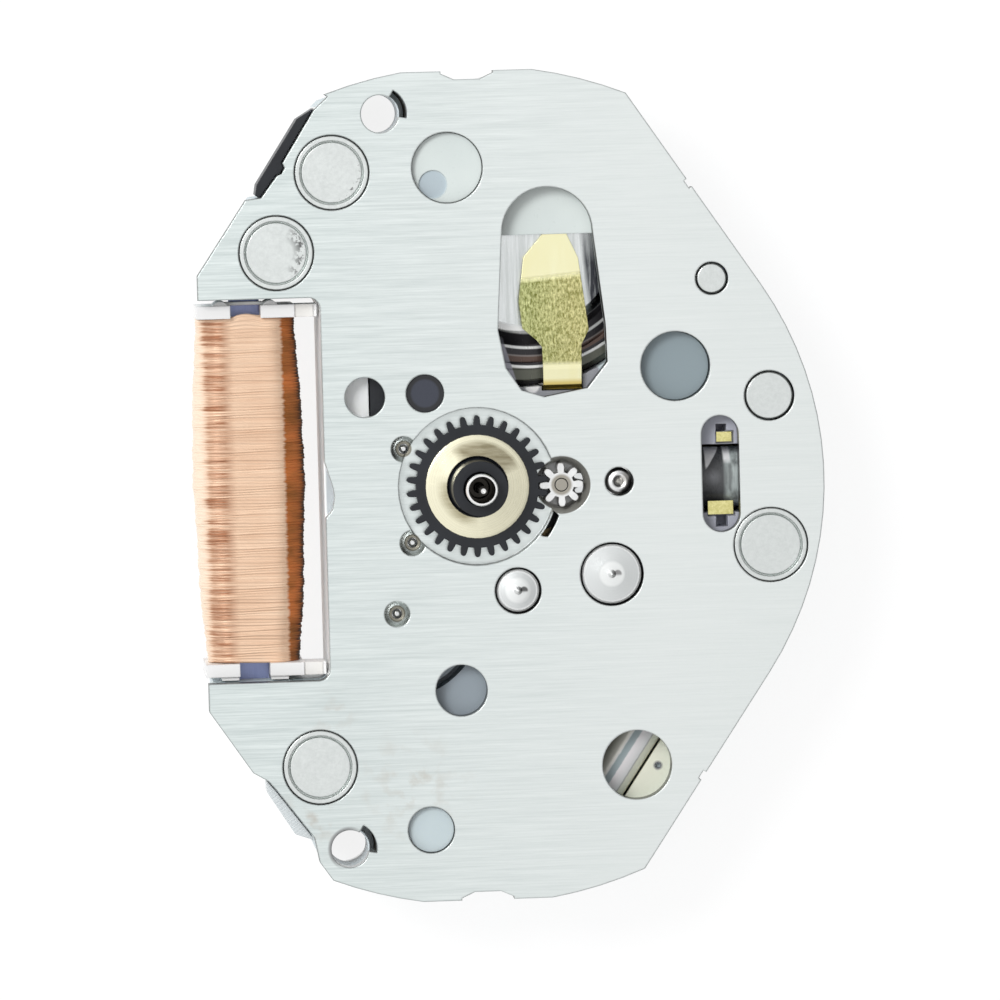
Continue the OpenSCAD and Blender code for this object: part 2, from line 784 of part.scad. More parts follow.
module contact_strips(gap = 0) {
    translate([5.30 - gap, 0.79 - gap]) square([0.34 + 2 * gap, 0.22 + 2 * gap]);
    translate([5.08 - gap, -0.80 - gap]) square([0.56 + 2 * gap, 0.30 + 2 * gap]);
}

module switch_contacts() {
    color("goldenrod") slab(contact_z - 0.07, contact_z) contact_strips();
}

// The laminate beside the crystal, with a plated hole
module crystal_pad() {
    color("darkkhaki") slab(pad_z, pad_z + 0.12) difference() {
        spot(window_ps[crystal_window], window_rs[crystal_window] + 0.1 - set_gap);
        crystal_shape(0.03);
        spot([3.87, -6.30], 0.06);
    }
}

module stator_shape() {
    spot(rotor_p, 1.10);
    bar([-2.78, -2.4], [-2.78, 4.75], 0.85);
    bar([-2.78, 4.75], pillar_ps[1], 0.85);
    bar([-2.4, -3.2], pillar_ps[2], 1.0);
    spot(pillar_ps[1], 0.62);
    spot(pillar_ps[2], 0.62);
}

module stator() {
    color("lightgray") slab(stator_z, stator_z + iron_t) difference() {
        stator_shape();
        spot(rotor_p, magnet_r + 0.12);
        for (p = coil_pillars) spot(p, neck_r);
    }
}

module core_shape() {
    translate([-coil_x - core_w / 2, -coil_low - 0.3]) square([core_w, coil_low + coil_top + 0.6]);
    bar([-coil_x, coil_top + 0.35], pillar_ps[1], 1.0);
    bar([-coil_x, -coil_low - 0.35], pillar_ps[2], 1.0);
}

module coil_core() {
    color("lightgray") slab(core_z, stator_z) difference() {
        core_shape();
        for (p = coil_pillars) spot(p, neck_r);
    }
}

// The coil stands along Y, round the middle of the core
module at_coil(y) {
    translate([-coil_x, y, -core_z - iron_t / 2]) rotate([90, 0, 0]) children();
}

module coil_bobbin() {
    top_end = wind_top + flange_t;
    low_end = wind_top - coil_len - flange_t;
    lug_x = core_w / 2 + 0.02 + lug_w / 2;
    color("white") difference() {
        union() {
            for (y = [top_end, low_end + flange_t]) {
                at_coil(y) linear_extrude(flange_t) square([flange_w, coil_h - 0.02], center = true);
                translate([-coil_x, y - flange_t, -core_z])
                    cube([coil_x - coil_right - 0.06, flange_t, core_z - pad_top]);
            }
            for (x = [-coil_x - lug_x, -coil_x + lug_x]) slab(lug_z, stator_z) {
                spot([x, coil_top - 0.04 - lug_w / 2], lug_w / 2);
                translate([x - lug_w / 2, 0.03 - coil_low]) square([lug_w, low_end + coil_low]);
            }
            slab(bridge_top, core_z) translate([-coil_x - lug_x, top_end - eps])
                square([2 * lug_x, coil_top - top_end - 0.06]);
            at_coil(top_end) linear_extrude(coil_len + 2 * flange_t)
                square([core_w + 2 * tube_wall, iron_t + 2 * tube_wall], center = true);
        }
        at_coil(coil_top + 1) linear_extrude(coil_top + coil_low + 2) square([core_w, iron_t], center = true);
        for (y = [wind_top, low_end - 1]) translate([-coil_x - core_w / 2, y, -core_z - eps])
            cube([core_w, y > 0 ? flange_t : flange_t + 1, core_z + 1]);
    }
}

// A slice of the winding: flat on top, with sloping corners
module wound_slice(w) {
    h = coil_h * w / coil_w_mid;
    side = h / 2 - wind_slope;
    flat = wind_flat * w / 2;
    linear_extrude(eps) polygon([
        [w / 2, side], [flat, h / 2], [-flat, h / 2], [-w / 2, side],
        [-w / 2, -side], [-flat, -h / 2], [flat, -h / 2], [w / 2, -side]
    ]);
}

module coil_winding() {
    bulge = 0.055;
    widths = [
        coil_w_top, (coil_w_top + coil_w_mid) / 2 + bulge, coil_w_mid, (coil_w_mid + coil_w_low) / 2 + bulge,
        coil_w_low
    ];
    step = (coil_len - eps) / 4;
    color("chocolate") difference() {
        for (i = [0 : 3]) hull() {
            at_coil(wind_top - i * step) wound_slice(widths[i]);
            at_coil(wind_top - (i + 1) * step) wound_slice(widths[i + 1]);
        }
        at_coil(wind_top + eps) linear_extrude(coil_len + 2 * eps)
            square([core_w + 2 * tube_wall, iron_t + 2 * tube_wall], center = true);
    }
}

// The pads that the winding's ends are soldered to
module coil_terminal() {
    color("wheat") slab(pad_top - 0.05, pad_top) for (y = [wind_top, wind_top - coil_len - flange_t])
        translate([-coil_x + 1.07, y]) square([0.40, flange_t]);
}

module dial_foot_sockets() {
    color("white") for (p = foot_ps) difference() {
        drum(p, foot_r + socket_wall, plate_t, socket_z);
        drum(p, foot_r, 0, socket_z + eps);
        slab(plate_t - eps, plate_t + 0.6) difference() {
            foot_slots();
            spot(p, foot_r + 0.035);
        }
    }
}

// The head of a pressed pillar, with its turned groove
module pillar_head(p, r) {
    rim = 0.02;
    depth = 0.11;
    translate([p[0], p[1], 0]) rotate_extrude() polygon([
        [0, -0.03], [groove_r - 0.02, -0.03], [groove_r, -depth], [groove_r + 0.02, -depth],
        [groove_r + 0.03, -0.01], [r - rim, -0.01], [r, -0.01 - rim], [r, -plate_t], [0, -plate_t]
    ]);
}

module plate_pillars() {
    color("silver") {
        for (p = coil_pillars) difference() {
            union() {
                pillar_head(p, pillar_head_r - head_gap);
                drum(p, pillar_r, plate_t - eps, core_z);
                drum(p, neck_r, core_z - eps, stator_z + iron_t);
            }
            drum(p, screw_r, stator_z + iron_t - screw_len, height);
        }
        for (p = cover_pillars) difference() {
            union() {
                pillar_head(p, pillar_head_r - head_gap);
                drum(p, pillar_r, plate_t - eps, cover_z);
            }
            drum(p, screw_r, cover_z - screw_len, height);
        }
    }
}

// The posts that carry the train bridge, with turned faces and a small nib at the centre
module bridge_pillars() {
    color("silver") for (q = [[big_post, big_post_r - post_ring], [small_post, small_post_r - post_ring]])
        difference() {
            translate([q[0][0], q[0][1], 0]) rotate_extrude() polygon([
                [0, 0], [0.02, 0], [0.09, -0.05], [0.45 * q[1], -0.06], [q[1] - 0.04, -0.09], [q[1], -0.13],
                [q[1], -bridge_z], [0, -bridge_z]
            ]);
            drum(q[0], screw_r, bridge_z - screw_len, bridge_z + eps);
        }
}

module lever_pins() {
    color("silver") for (q = [[lever_pin, lever_pin_r - pin_gap], [yoke_pin, yoke_pin_r - pin_gap]]) {
        translate([q[0][0], q[0][1], 0]) rotate_extrude() polygon([
            [0, -0.02], [q[1] - 0.03, -0.02], [q[1], -0.05], [q[1], -plate_t], [0, -plate_t]
        ]);
        drum(q[0], yoke_pin_r - pin_gap, plate_t - eps, board_z - 0.05);
    }
}

module minute_post() {
    color("gray") drum(minute_p, post_pin_r, 0.08, support_z);
}

module setting_stud() {
    color("silver") {
        translate([setting_p[0], setting_p[1], 0]) rotate_extrude() polygon([
            [0, -0.20], [0.05, -0.16], [0.10, -0.07], [0.16, -0.05], [0.23, -0.08],
            [setting_hole_r - 0.02, -0.20], [setting_hole_r - 0.02, -plate_t], [0, -plate_t]
        ]);
        drum(setting_p, post_pin_r, plate_t - eps, setting_wheel_z + setting_wheel_t);
    }
}

module window_plug() {
    color("black") drum(plug_p, plug_r, 0.05, plate_t);
}

module edge_spacer() {
    color("black") slab(0.12, edge_piece_z) spacer_shape();
}

module edge_tab() {
    color("white") slab(0.18, edge_piece_z) tab_shape();
}

module screw(p, r, from, length) {
    difference() {
        union() {
            drum(p, r, from - head_t, from);
            drum(p, screw_r, from - head_t - length, from - head_t + eps);
        }
        translate([p[0] - r, p[1] - 0.06, -from - eps]) cube([2 * r, 0.12, 0.07]);
    }
}

module cover_screws() {
    color("gray") for (p = cover_pillars) screw(p, screw_head_r, height, 0.7);
}

module bridge_screws() {
    color("gray") for (p = [big_post, small_post]) screw(p, bridge_head_r, cover_z - 0.04, 0.7);
}

module coil_screws() {
    color("gray") for (p = coil_pillars) screw(p, screw_head_r, stator_z + iron_t + head_t, 0.5);
}

// The going train
module pivoted_arbor(p, top, r = arbor_r) {
    drum(p, r, top, bridge_z - layer_gap);
    drum(p, pivot_r, bridge_z - layer_gap - eps, cover_z - 0.17);
}

// The upper pivot turns in the base plate, and its end is a small flat-topped cone
module plate_pivot(p) {
    drum(p, pivot_r, plate_t - 0.17, plate_t + 0.06);
    translate([p[0], p[1], 0.17 - plate_t]) cylinder(r1 = pivot_r, r2 = 0.045, h = 0.05);
}

module rotor_magnet() {
    color("dimgray") difference() {
        drum(rotor_p, magnet_r, magnet_z, magnet_z + magnet_h);
        drum(rotor_p, arbor_r, 0, height);
    }
}

module rotor_arbor() {
    color("gray") {
        pivoted_arbor(rotor_p, plate_t + layer_gap);
        plate_pivot(rotor_p);
        at_wheel(rotor_p, fifth_z - 0.02, wheel_t + 0.04)
            gear(rotor_leaves, rotor_mod, wheel_t + 0.04, rotor_phase);
    }
}

module at_wheel(p, from, t) {
    translate([p[0], p[1], -from - t]) children();
}

module fifth_wheel() {
    color("gold") train_wheel(fifth_p, fifth_z, fifth_teeth, rotor_mod, 0);
}

// A train wheel, with its hole for the arbor and three round openings
module train_wheel(p, z, teeth, mod, phase, hole = arbor_r) {
    rim = teeth * mod / 2 - 1.15 * mod;
    difference() {
        at_wheel(p, z, wheel_t) gear(teeth, mod, wheel_t, phase);
        drum(p, hole, 0, height);
        for (a = [0 : 120 : 240])
            drum(p + 0.58 * rim * [cos(a), sin(a)], 0.27 * rim, 0, height);
    }
}

module fifth_pinion() {
    color("gray") {
        pivoted_arbor(fifth_p, plate_t + layer_gap);
        plate_pivot(fifth_p);
        at_wheel(fifth_p, seconds_z - 0.04, wheel_t + 0.08)
            gear(fifth_leaves, fifth_mod, wheel_t + 0.08, fifth_pinion_phase);
    }
}

module seconds_wheel() {
    color("gold") train_wheel(origin_p, seconds_z, seconds_teeth, fifth_mod, 0);
}

module seconds_arbor() {
    color("gray") {
        pivoted_arbor(origin_p, centre_z + wheel_t + layer_gap);
        drum(origin_p, seconds_seat_r, -waist_z, seconds_z);
        difference() {
            rotate_extrude() polygon([
                [0, waist_z - eps], [seconds_seat_r, waist_z - eps], [waist_r, waist_z + 0.02],
                [waist_r + 0.002, minute_top - 0.02], [seconds_seat_r, minute_top],
                [seconds_seat_r, seconds_top - 0.03], [seconds_seat_r - 0.03, seconds_top], [0, seconds_top]
            ]);
            drum(origin_p, 0.04, -seconds_top - eps, 0.12 - seconds_top);
        }
        at_wheel(origin_p, third_z - 0.04, wheel_t + 0.08) gear(seconds_leaves, third_mod, wheel_t + 0.08, 0);
    }
}

module third_wheel() {
    color("gold") train_wheel(third_p, third_z, third_teeth, third_mod, third_phase);
}

module third_pinion() {
    color("gray") {
        pivoted_arbor(third_p, plate_t + layer_gap);
        plate_pivot(third_p);
        at_wheel(third_p, centre_z - 0.02, wheel_t + 0.08) gear(third_leaves, centre_mod, wheel_t + 0.08, 0);
    }
}

module centre_wheel() {
    color("gold") train_wheel(origin_p, centre_z, centre_teeth, centre_mod, centre_phase, centre_tube_r);
}

module centre_tube() {
    color("gray") difference() {
        drum(origin_p, centre_tube_r, -0.40, centre_z + wheel_t);
        drum(origin_p, seconds_seat_r + run_gap, -seconds_top, height);
    }
}

// The motion works
module cannon_pinion() {
    top = minute_gear_z - 0.02;
    t = works_z - layer_gap + 0.01 - top;
    color("silver") difference() {
        union() {
            translate([0, 0, -top - t]) rotate_extrude() polygon([
                [0, 0], [minute_seat_r - 0.004, 0], [minute_seat_r - 0.001, top + t + hour_top],
                [minute_seat_r, top + t + hour_top + 0.02], [minute_seat_r, top + t + minute_top - 0.03],
                [minute_seat_r - 0.02, top + t + minute_top], [0, top + t + minute_top]
            ]);
            at_wheel(origin_p, top, t) gear(cannon_leaves, works_mod, t, 0);
        }
        drum(origin_p, centre_tube_r + run_gap, -minute_top - eps, height);
        drum(origin_p, pipe_bore_r, -minute_top - eps, -0.55);
    }
}

module minute_wheel() {
    color("gold") train_wheel(minute_p, minute_gear_z, minute_teeth, works_mod, minute_wheel_phase, hub_r);
}

module minute_pinion() {
    top = 0.09;
    t = minute_gear_z - top;
    color("silver") difference() {
        union() {
            at_wheel(minute_p, top, t) gear(minute_leaves, hour_mod, t, minute_pinion_phase, true, 0.03);
            drum(minute_p, minute_hole_r - 0.04, minute_gear_z - 0.08, minute_gear_z);
            drum(minute_p, hub_r, minute_gear_z - eps, minute_gear_z + wheel_t);
        }
        drum(minute_p, post_pin_r + run_gap, 0, height);
    }
}

module hour_wheel() {
    color("black") difference() {
        union() {
            at_wheel(origin_p, hour_gear_z, hour_gear_t)
                gear(hour_teeth, hour_mod, hour_gear_t, hour_phase, true);
            drum(origin_p, hour_seat_r, -hour_top, hour_gear_z + hour_gear_t);
            translate([0, 0, -hour_gear_z - eps])
                cylinder(r1 = foot_cone_r, r2 = hour_seat_r, h = foot_cone_h + eps);
        }
        drum(origin_p, minute_seat_r + run_gap, -hour_top - eps, plate_t);
    }
}

// A thin dished ring round the hour pipe
module dial_washer() {
    inner = foot_cone_r + run_gap;
    color("khaki") translate([0, 0, -hour_gear_z]) rotate_extrude() polygon([
        [inner, 0.05], [washer_r - 0.05, 0], [washer_r, 0], [washer_r, 0.04], [washer_r - 0.05, 0.05],
        [inner, 0.11]
    ]);
}

// The keyless works
module setting_wheel() {
    color("silver") difference() {
        at_wheel(setting_p, setting_wheel_z, setting_wheel_t)
            gear(setting_teeth, hour_mod, setting_wheel_t, setting_phase, true);
        drum(setting_p, post_pin_r + run_gap, 0, height);
    }
}

module clutch_wheel() {
    color("silver") translate([clutch_x, 0, -stem_z]) rotate([0, 90, 0]) difference() {
        union() {
            rotate_extrude() polygon([
                [0, 0], [clutch_r, 0], [clutch_r, groove_from], [clutch_r - groove_deep, groove_from],
                [clutch_r - groove_deep, groove_to], [clutch_r, groove_to], [clutch_r, clutch_len - 0.06],
                [clutch_r - 0.06, clutch_len], [0, clutch_len]
            ]);
            for (a = [0 : 30 : 330]) rotate(a) translate([clutch_r - 0.19, -0.07, -0.08])
                cube([0.17, 0.14, 0.08 + eps]);
        }
        translate([0, 0, clutch_len / 2]) cube([clutch_square, clutch_square, 2 * clutch_len], center = true);
    }
}

module yoke() {
    groove_x = clutch_x + (groove_from + groove_to) / 2;
    bend = [5.05, 1.3];
    color("darkgoldenrod") {
        slab(yoke_z, yoke_z + lever_t) difference() {
            union() {
                spot(yoke_pin, yoke_pin_r + 0.25);
                bar(yoke_pin, bend, 0.45);
                bar(bend, [groove_x, 0], 0.40);
            }
            spot(yoke_pin, yoke_pin_r - pin_gap + run_gap);
        }
        slab(stem_z + clutch_r - groove_deep + 0.04, yoke_z + eps)
            translate([groove_x, 0]) square(finger, center = true);
    }
}

module setting_lever() {
    color("lightgray") {
        slab(lever_z, lever_z + lever_t) difference() {
            union() {
                spot(lever_pin, yoke_pin_r + 0.25);
                bar(lever_pin, [lever_foot_x, 0], 0.36);
                bar(lever_pin, [5.60, 2.35], 0.40);
            }
            spot(lever_pin, yoke_pin_r - pin_gap + run_gap);
        }
        slab(stem_z + stem_r + 0.06, lever_z + eps)
            translate([lever_foot_x, 0]) square(finger, center = true);
    }
}

module stop_lever() {
    color("lightgray") slab(seconds_z, seconds_z + 0.12) difference() {
        union() {
            spot(pillar_ps[3], pillar_r + 0.22);
            bar(pillar_ps[3], [3.2, -0.95], 0.36);
            bar([3.2, -0.95], [1.62, -1.28], 0.30);
        }
        spot(pillar_ps[3], pillar_r + run_gap);
    }
}

base_plate();
main_frame();
train_support();
train_bridge();
circuit_cover();
circuit_board();
battery_can();
battery_cap();
battery_gasket();
battery_insulator();
negative_contact();
positive_contact();
chip_cap();
quartz_crystal();
switch_contacts();
stator();
coil_core();
coil_bobbin();
coil_winding();
coil_terminal();
crystal_pad();
dial_foot_sockets();
plate_pillars();
bridge_pillars();
lever_pins();
minute_post();
setting_stud();
window_plug();
edge_spacer();
edge_tab();
cover_screws();
bridge_screws();
coil_screws();
rotor_magnet();
rotor_arbor();
fifth_wheel();
fifth_pinion();
seconds_wheel();
seconds_arbor();
third_wheel();
third_pinion();
centre_wheel();
centre_tube();
cannon_pinion();
minute_wheel();
minute_pinion();
hour_wheel();
dial_washer();
setting_wheel();
clutch_wheel();
yoke();
setting_lever();
stop_lever();
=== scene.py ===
"""A slim three-hand quartz watch movement, dial side up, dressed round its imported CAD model.

Lengths are in millimetres, and MM turns them into Blender's metres. Headings are in degrees, with 0 towards
3 o'clock and 90 towards 12 o'clock. The rest pose is the photographed one, and places on the part are
measured from the arbors of its hands, also in the materials.
"""
import math
import random

import bmesh
import bpy
from mathutils import Matrix, Vector


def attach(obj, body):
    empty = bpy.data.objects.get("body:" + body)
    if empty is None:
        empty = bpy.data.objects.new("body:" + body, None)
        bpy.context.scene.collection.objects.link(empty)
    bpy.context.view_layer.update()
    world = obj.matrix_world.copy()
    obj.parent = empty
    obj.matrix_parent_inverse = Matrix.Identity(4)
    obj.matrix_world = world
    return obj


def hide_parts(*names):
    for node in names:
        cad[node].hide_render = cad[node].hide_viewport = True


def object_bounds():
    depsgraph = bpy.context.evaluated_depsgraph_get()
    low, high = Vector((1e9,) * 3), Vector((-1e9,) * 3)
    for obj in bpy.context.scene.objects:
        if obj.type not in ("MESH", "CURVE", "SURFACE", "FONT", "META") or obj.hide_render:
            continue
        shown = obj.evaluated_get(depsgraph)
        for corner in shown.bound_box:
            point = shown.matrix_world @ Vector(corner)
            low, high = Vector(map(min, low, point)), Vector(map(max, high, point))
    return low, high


MM = 0.001
SEED = 7

# The photograph: the scale on the dial seat, the part's roll in the picture, and where the camera stands
PIXELS_PER_MM = 45.93
IMAGE_SIZE = 1000
ROLL = math.radians(1.5)
LEAN_LEFT = math.radians(4.3)
LEAN_UP = math.radians(3.3)
CAMERA_DISTANCE = 160
AIM = Vector((0.482, -0.307, 0))
SENSOR = 36
CLIP_NEAR = 10
CLIP_FAR = 10000

# The studio's lamp, and its floor with the greys as lit and as seen
KEY_PLACE = (-90, 70, 150)
KEY_SIZE = 70
KEY_WATTS = 0.15
FLOOR_RADIUS = 600
FLOOR_SIDES = 96
FLOOR_GAP = 0.02
FLOOR_LIT = 0.80
FLOOR_GLOW = 0.86
FLOOR_SHADED = 0.20

# The light from the left and the right, as stops of a height, 0 at the horizon and 1 overhead, and a level
LEFT_LIGHT = ((0.0, 0.85), (0.15, 0.80), (0.34, 0.62), (0.62, 0.80), (0.86, 0.95), (1.0, 0.96))
RIGHT_LIGHT = ((0.0, 0.45), (0.12, 0.40), (0.34, 0.10), (0.72, 0.14), (0.90, 0.60), (0.97, 0.94))
LEFT_ENDS = -0.15
RIGHT_STARTS = 0.40
SKY_BLUE = 1.005

# The winding's solid, from its upper to its lower end, with its widths at shares of its length
COIL_X = -4.92
COIL_DEPTH = 1.40
WIND_TOP = 3.79
WIND_LENGTH = 7.53
WIND_HEIGHT = 2.06
WIND_FLAT = 0.66
WIND_SLOPE = 0.42
WIND_WIDTHS = ((0.0, 2.18), (0.25, 2.36), (0.5, 2.44), (0.75, 2.28), (1.0, 2.02))
WIDEST = max(width for _, width in WIND_WIDTHS)

# The turns that stand for it: their pitch, how far they stay inside it, their ridges and their unevenness
TURN_PITCH = 0.062
SIDE_ROOM = 0.03
TOP_ROOM = 0.05
END_ROOM = 0.01
RIDGE = 0.016
PROUD_LOW = -0.012
PROUD_HIGH = 0.010
DRIFT_KEPT = 0.85
DRIFT_STEP = 0.008
WANDER = 0.012
WANDER_ACROSS = 3.1
WANDER_DOWN = 2.3
WANDER_PER_TURN = 0.9
CROWN = 0.10
CROWN_HALF = 0.36
CROWN_SHARE = 1 / 25
RINGS_PER_TURN = 4
RING_POINTS = 72
RING_SMOOTHINGS = 3

# Places on the part that the finishes follow
CENTRE = (0, 0)
WHEEL_SINKS = ((-1.58, 0.86), (-1.44, -1.19), (-1.82, -2.73))
UPPER_PILLAR = (-2.99, 6.91)
LEFT_PILLAR = (-4.24, 5.20)
PILLARS = (UPPER_PILLAR, LEFT_PILLAR, (-3.59, -6.02), (6.39, -1.46), (6.43, 1.80), (5.23, 4.39))
SMALL_POST = (0.83, -2.30)
BIG_POST = (2.89, -2.00)
MINUTE_PLACE = (1.84, -0.02)
STUD_PLACE = (3.10, 0.02)
CELL_PLACE = (1.29, 5.51)
CELL_LIP_Y = 3.305
CELL_SHADE_Y = 3.44
LEAF_X = 1.76
CLUTCH_X = 5.09
CLUTCH_SHEEN = (5.18, 0.02)
CRYSTAL_PLACE = (2.85, -6.24)
CRYSTAL_HEADING = 56
UPPER_FOOT = (-1.913, 8.154)
LOWER_FOOT = (-2.988, -7.824)
RIGHT_WINDOW = (4.39, 2.50)
LOWER_WINDOW = (-0.46, -4.44)
HALF_WINDOW = (-2.40, 2.01)
PLUG_PLACE = (-1.09, 2.06)
SLOT_PLACE = (5.33, 0.12)
LEAF_ROOM = (1.75, 1.95)
LEAF_NOTCH = (1.28, 2.14)
COIL_BULGE = (-3.22, 0.0)
FILM_DARK_DISC = (-0.79, 6.59)
LEAD_HOLE = (3.87, -6.30)

# Radii round such places: a pivot and its sink's shade and polish, the minute wheel's cone, and openings
PIVOT_R = 0.19
SINK_SHADE_R = 0.29
SINK_POLISH_R = 0.33
MINUTE_CONE_R = 0.655
FOOT_R = 0.62
FOOT_SHADE_R = 0.50
HALF_WINDOW_R = 0.54

# The plate's wall beside the coil and the strip of the frame there, both painted pale as light
COIL_WALL = -3.40
COIL_WALL_HALF = 4.3
FRAME_LIT_STRIP = (-3.38, -3.28)

# Stains on the plate near 7 o'clock, each with its place, radius and tone
STAINS = (
    ((-1.6, -6.6), 1.5, (0.62, 0.60, 0.54)),
    ((-3.3, -4.9), 0.7, (0.62, 0.60, 0.55)),
    ((-3.9, -7.3), 1.0, (0.56, 0.52, 0.46)),
)

# Painted shade and light on the main frame where it shows in the plate's openings, each with its place,
# radius and tone
FOOT_SHADE = (0.12, 0.115, 0.095)
FRAME_SHADE_AND_LIGHT = (
    (RIGHT_WINDOW, 0.80, (0.30, 0.37, 0.40)),
    (LOWER_WINDOW, 0.62, (0.33, 0.385, 0.43)),
    (SLOT_PLACE, 1.45, (0.47, 0.485, 0.56)),
    (LEAF_ROOM, 1.15, (0.34, 0.35, 0.38)),
    (LEAF_NOTCH, 0.18, (0.93, 0.93, 0.93)),
    (COIL_BULGE, 0.75, (0.46, 0.50, 0.52)),
    (HALF_WINDOW, 0.47, (0.95, 0.97, 0.97)),
    (UPPER_FOOT, 0.66, FOOT_SHADE),
    (LOWER_FOOT, 0.66, FOOT_SHADE),
)

# Edges of the CAD nodes sharper than this stay sharp
CREASE = math.radians(32)

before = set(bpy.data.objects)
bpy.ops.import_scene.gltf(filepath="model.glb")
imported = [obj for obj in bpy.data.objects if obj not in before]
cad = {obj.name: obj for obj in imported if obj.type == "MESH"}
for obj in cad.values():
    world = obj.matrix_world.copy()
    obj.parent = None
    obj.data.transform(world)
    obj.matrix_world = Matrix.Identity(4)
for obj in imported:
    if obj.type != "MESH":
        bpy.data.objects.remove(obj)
cad_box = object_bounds()
random.seed(SEED)


class Shader:
    """A material's node tree, with short calls for the nodes that the finishes share.

    A share is a value from 0 to 1 that says where on the part something shows.
    """

    def __init__(self, name):
        self.material = bpy.data.materials.new(name)
        self.material.use_nodes = True
        self.tree = self.material.node_tree
        self.tree.nodes.clear()
        self.place = self.add("ShaderNodeTexCoord").outputs["Object"]

    def add(self, kind, **settings):
        """A new node with its settings."""
        node = self.tree.nodes.new(kind)
        for key, value in settings.items():
            setattr(node, key, value)
        return node

    def put(self, socket, value):
        """Sets a socket to a number or a colour, or links an output to it."""
        if isinstance(value, bpy.types.NodeSocket):
            self.tree.links.new(value, socket)
        elif isinstance(value, (tuple, list)) and socket.type == "RGBA":
            socket.default_value = (*value, 1)
        else:
            socket.default_value = value

    def surface(self, **inputs):
        """The finished material, with what its surface shader gets by the names of its sockets."""
        principled = self.add("ShaderNodeBsdfPrincipled")
        for key, value in inputs.items():
            self.put(principled.inputs[key.replace("_", " ")], value)
        output = self.add("ShaderNodeOutputMaterial")
        self.put(output.inputs["Surface"], principled.outputs["BSDF"])
        return self.material

    # Values worked out from values

    def maths(self, operation, a, b=0.0):
        """The result of an operation on one or two values."""
        node = self.add("ShaderNodeMath", operation=operation)
        self.put(node.inputs[0], a)
        self.put(node.inputs[1], b)
        return node.outputs[0]

    def span(self, value, low, high, to_low=0.0, to_high=1.0):
        """A value mapped from one range to another, and held within it."""
        node = self.add("ShaderNodeMapRange")
        sockets = ("Value", "From Min", "From Max", "To Min", "To Max")
        for key, given in zip(sockets, (value, low, high, to_low, to_high)):
            self.put(node.inputs[key], given)
        return node.outputs["Result"]

    def between(self, value, low, high, soft=0.02):
        """1 between two values, with soft ends."""
        above = self.span(value, low - soft, low + soft)
        return self.all_of(above, self.span(value, high + soft, high - soft))

    def all_of(self, *shares):
        """The product of some shares."""
        result = shares[0]
        for share in shares[1:]:
            result = self.maths("MULTIPLY", result, share)
        return result

    def any_of(self, *shares):
        """The largest of some shares."""
        result = shares[0]
        for share in shares[1:]:
            result = self.maths("MAXIMUM", result, share)
        return result

    def weighted(self, *parts):
        """The sum of some values, each times its weight."""
        total = self.maths("MULTIPLY", *parts[0])
        for value, weight in parts[1:]:
            total = self.maths("ADD", total, self.maths("MULTIPLY", value, weight))
        return total

    def leaning(self, value, other, start, slope):
        """A value less a slope times another from its start, so that what follows it leans."""
        lean = self.maths("MULTIPLY", self.maths("SUBTRACT", other, start), slope)
        return self.maths("SUBTRACT", value, lean)

    def shifted(self, value, noise, reach):
        """A value that noise moves to both sides, so that what follows it gets a ragged edge."""
        return self.maths("ADD", value, self.maths("MULTIPLY", self.maths("SUBTRACT", noise, 0.5), reach))

    def varied(self, noise, middle, spread):
        """A value that follows noise to both sides of its middle, such as a roughness."""
        return self.span(noise, 0.3, 0.7, middle - spread, middle + spread)

    # Colours

    def mix(self, share, a, b):
        """A colour that turns from the first to the second as a share grows."""
        node = self.add("ShaderNodeMix", data_type="RGBA")
        self.put(node.inputs[0], share)
        self.put(node.inputs[6], a)
        self.put(node.inputs[7], b)
        return node.outputs[2]

    def bands(self, value, stops):
        """Colours that follow a value, given as stops of a value and a colour."""
        ramp = self.add("ShaderNodeValToRGB")
        low, high = stops[0][0], stops[-1][0]
        self.put(ramp.inputs[0], self.span(value, low, high))
        elements = ramp.color_ramp.elements
        elements[0].position, elements[1].position = 0, 1
        for at, _ in stops[1:-1]:
            elements.new((at - low) / (high - low))
        for element, (_, colour) in zip(elements, stops):
            element.color = (*colour, 1)
        return ramp.outputs["Color"]

    # Places on the part

    def along(self, axis):
        """A coordinate of the place on the part."""
        split = self.add("ShaderNodeSeparateXYZ")
        self.put(split.inputs[0], self.place)
        return self.maths("DIVIDE", split.outputs[axis], MM)

    def slanted(self, x, y, heading):
        """Distance from a place towards a heading."""
        across, up = math.cos(math.radians(heading)), math.sin(math.radians(heading))
        east = self.maths("MULTIPLY", self.maths("SUBTRACT", self.along("X"), x), across)
        north = self.maths("MULTIPLY", self.maths("SUBTRACT", self.along("Y"), y), up)
        return self.maths("ADD", east, north)

    def radius_from(self, x, y):
        """Distance from an upright axis."""
        flat = self.add("ShaderNodeVectorMath", operation="MULTIPLY")
        self.put(flat.inputs[0], self.place)
        flat.inputs[1].default_value = (1 / MM, 1 / MM, 0)
        away = self.add("ShaderNodeVectorMath", operation="DISTANCE")
        self.put(away.inputs[0], flat.outputs[0])
        away.inputs[1].default_value = (x, y, 0)
        return away.outputs["Value"]

    def nearest_of(self, centres):
        """Distance from the nearest of some upright axes."""
        nearest = self.radius_from(*centres[0])
        for centre in centres[1:]:
            nearest = self.maths("MINIMUM", self.radius_from(*centre), nearest)
        return nearest

    def wedge(self, x, y, heading, half, soft=12):
        """1 within an angle to both sides of a heading from an upright axis, with soft sides."""
        cosine = self.maths("DIVIDE", self.slanted(x, y, heading), self.radius_from(x, y))
        return self.span(cosine, math.cos(math.radians(half + soft)), math.cos(math.radians(half - soft)))

    def arc(self, centre, inner, outer, heading, half, soft=0.012):
        """1 between two radii from an upright axis, within an angle to both sides of a heading."""
        return self.all_of(self.between(self.radius_from(*centre), inner, outer, soft),
                           self.wedge(*centre, heading, half))

    # Noise

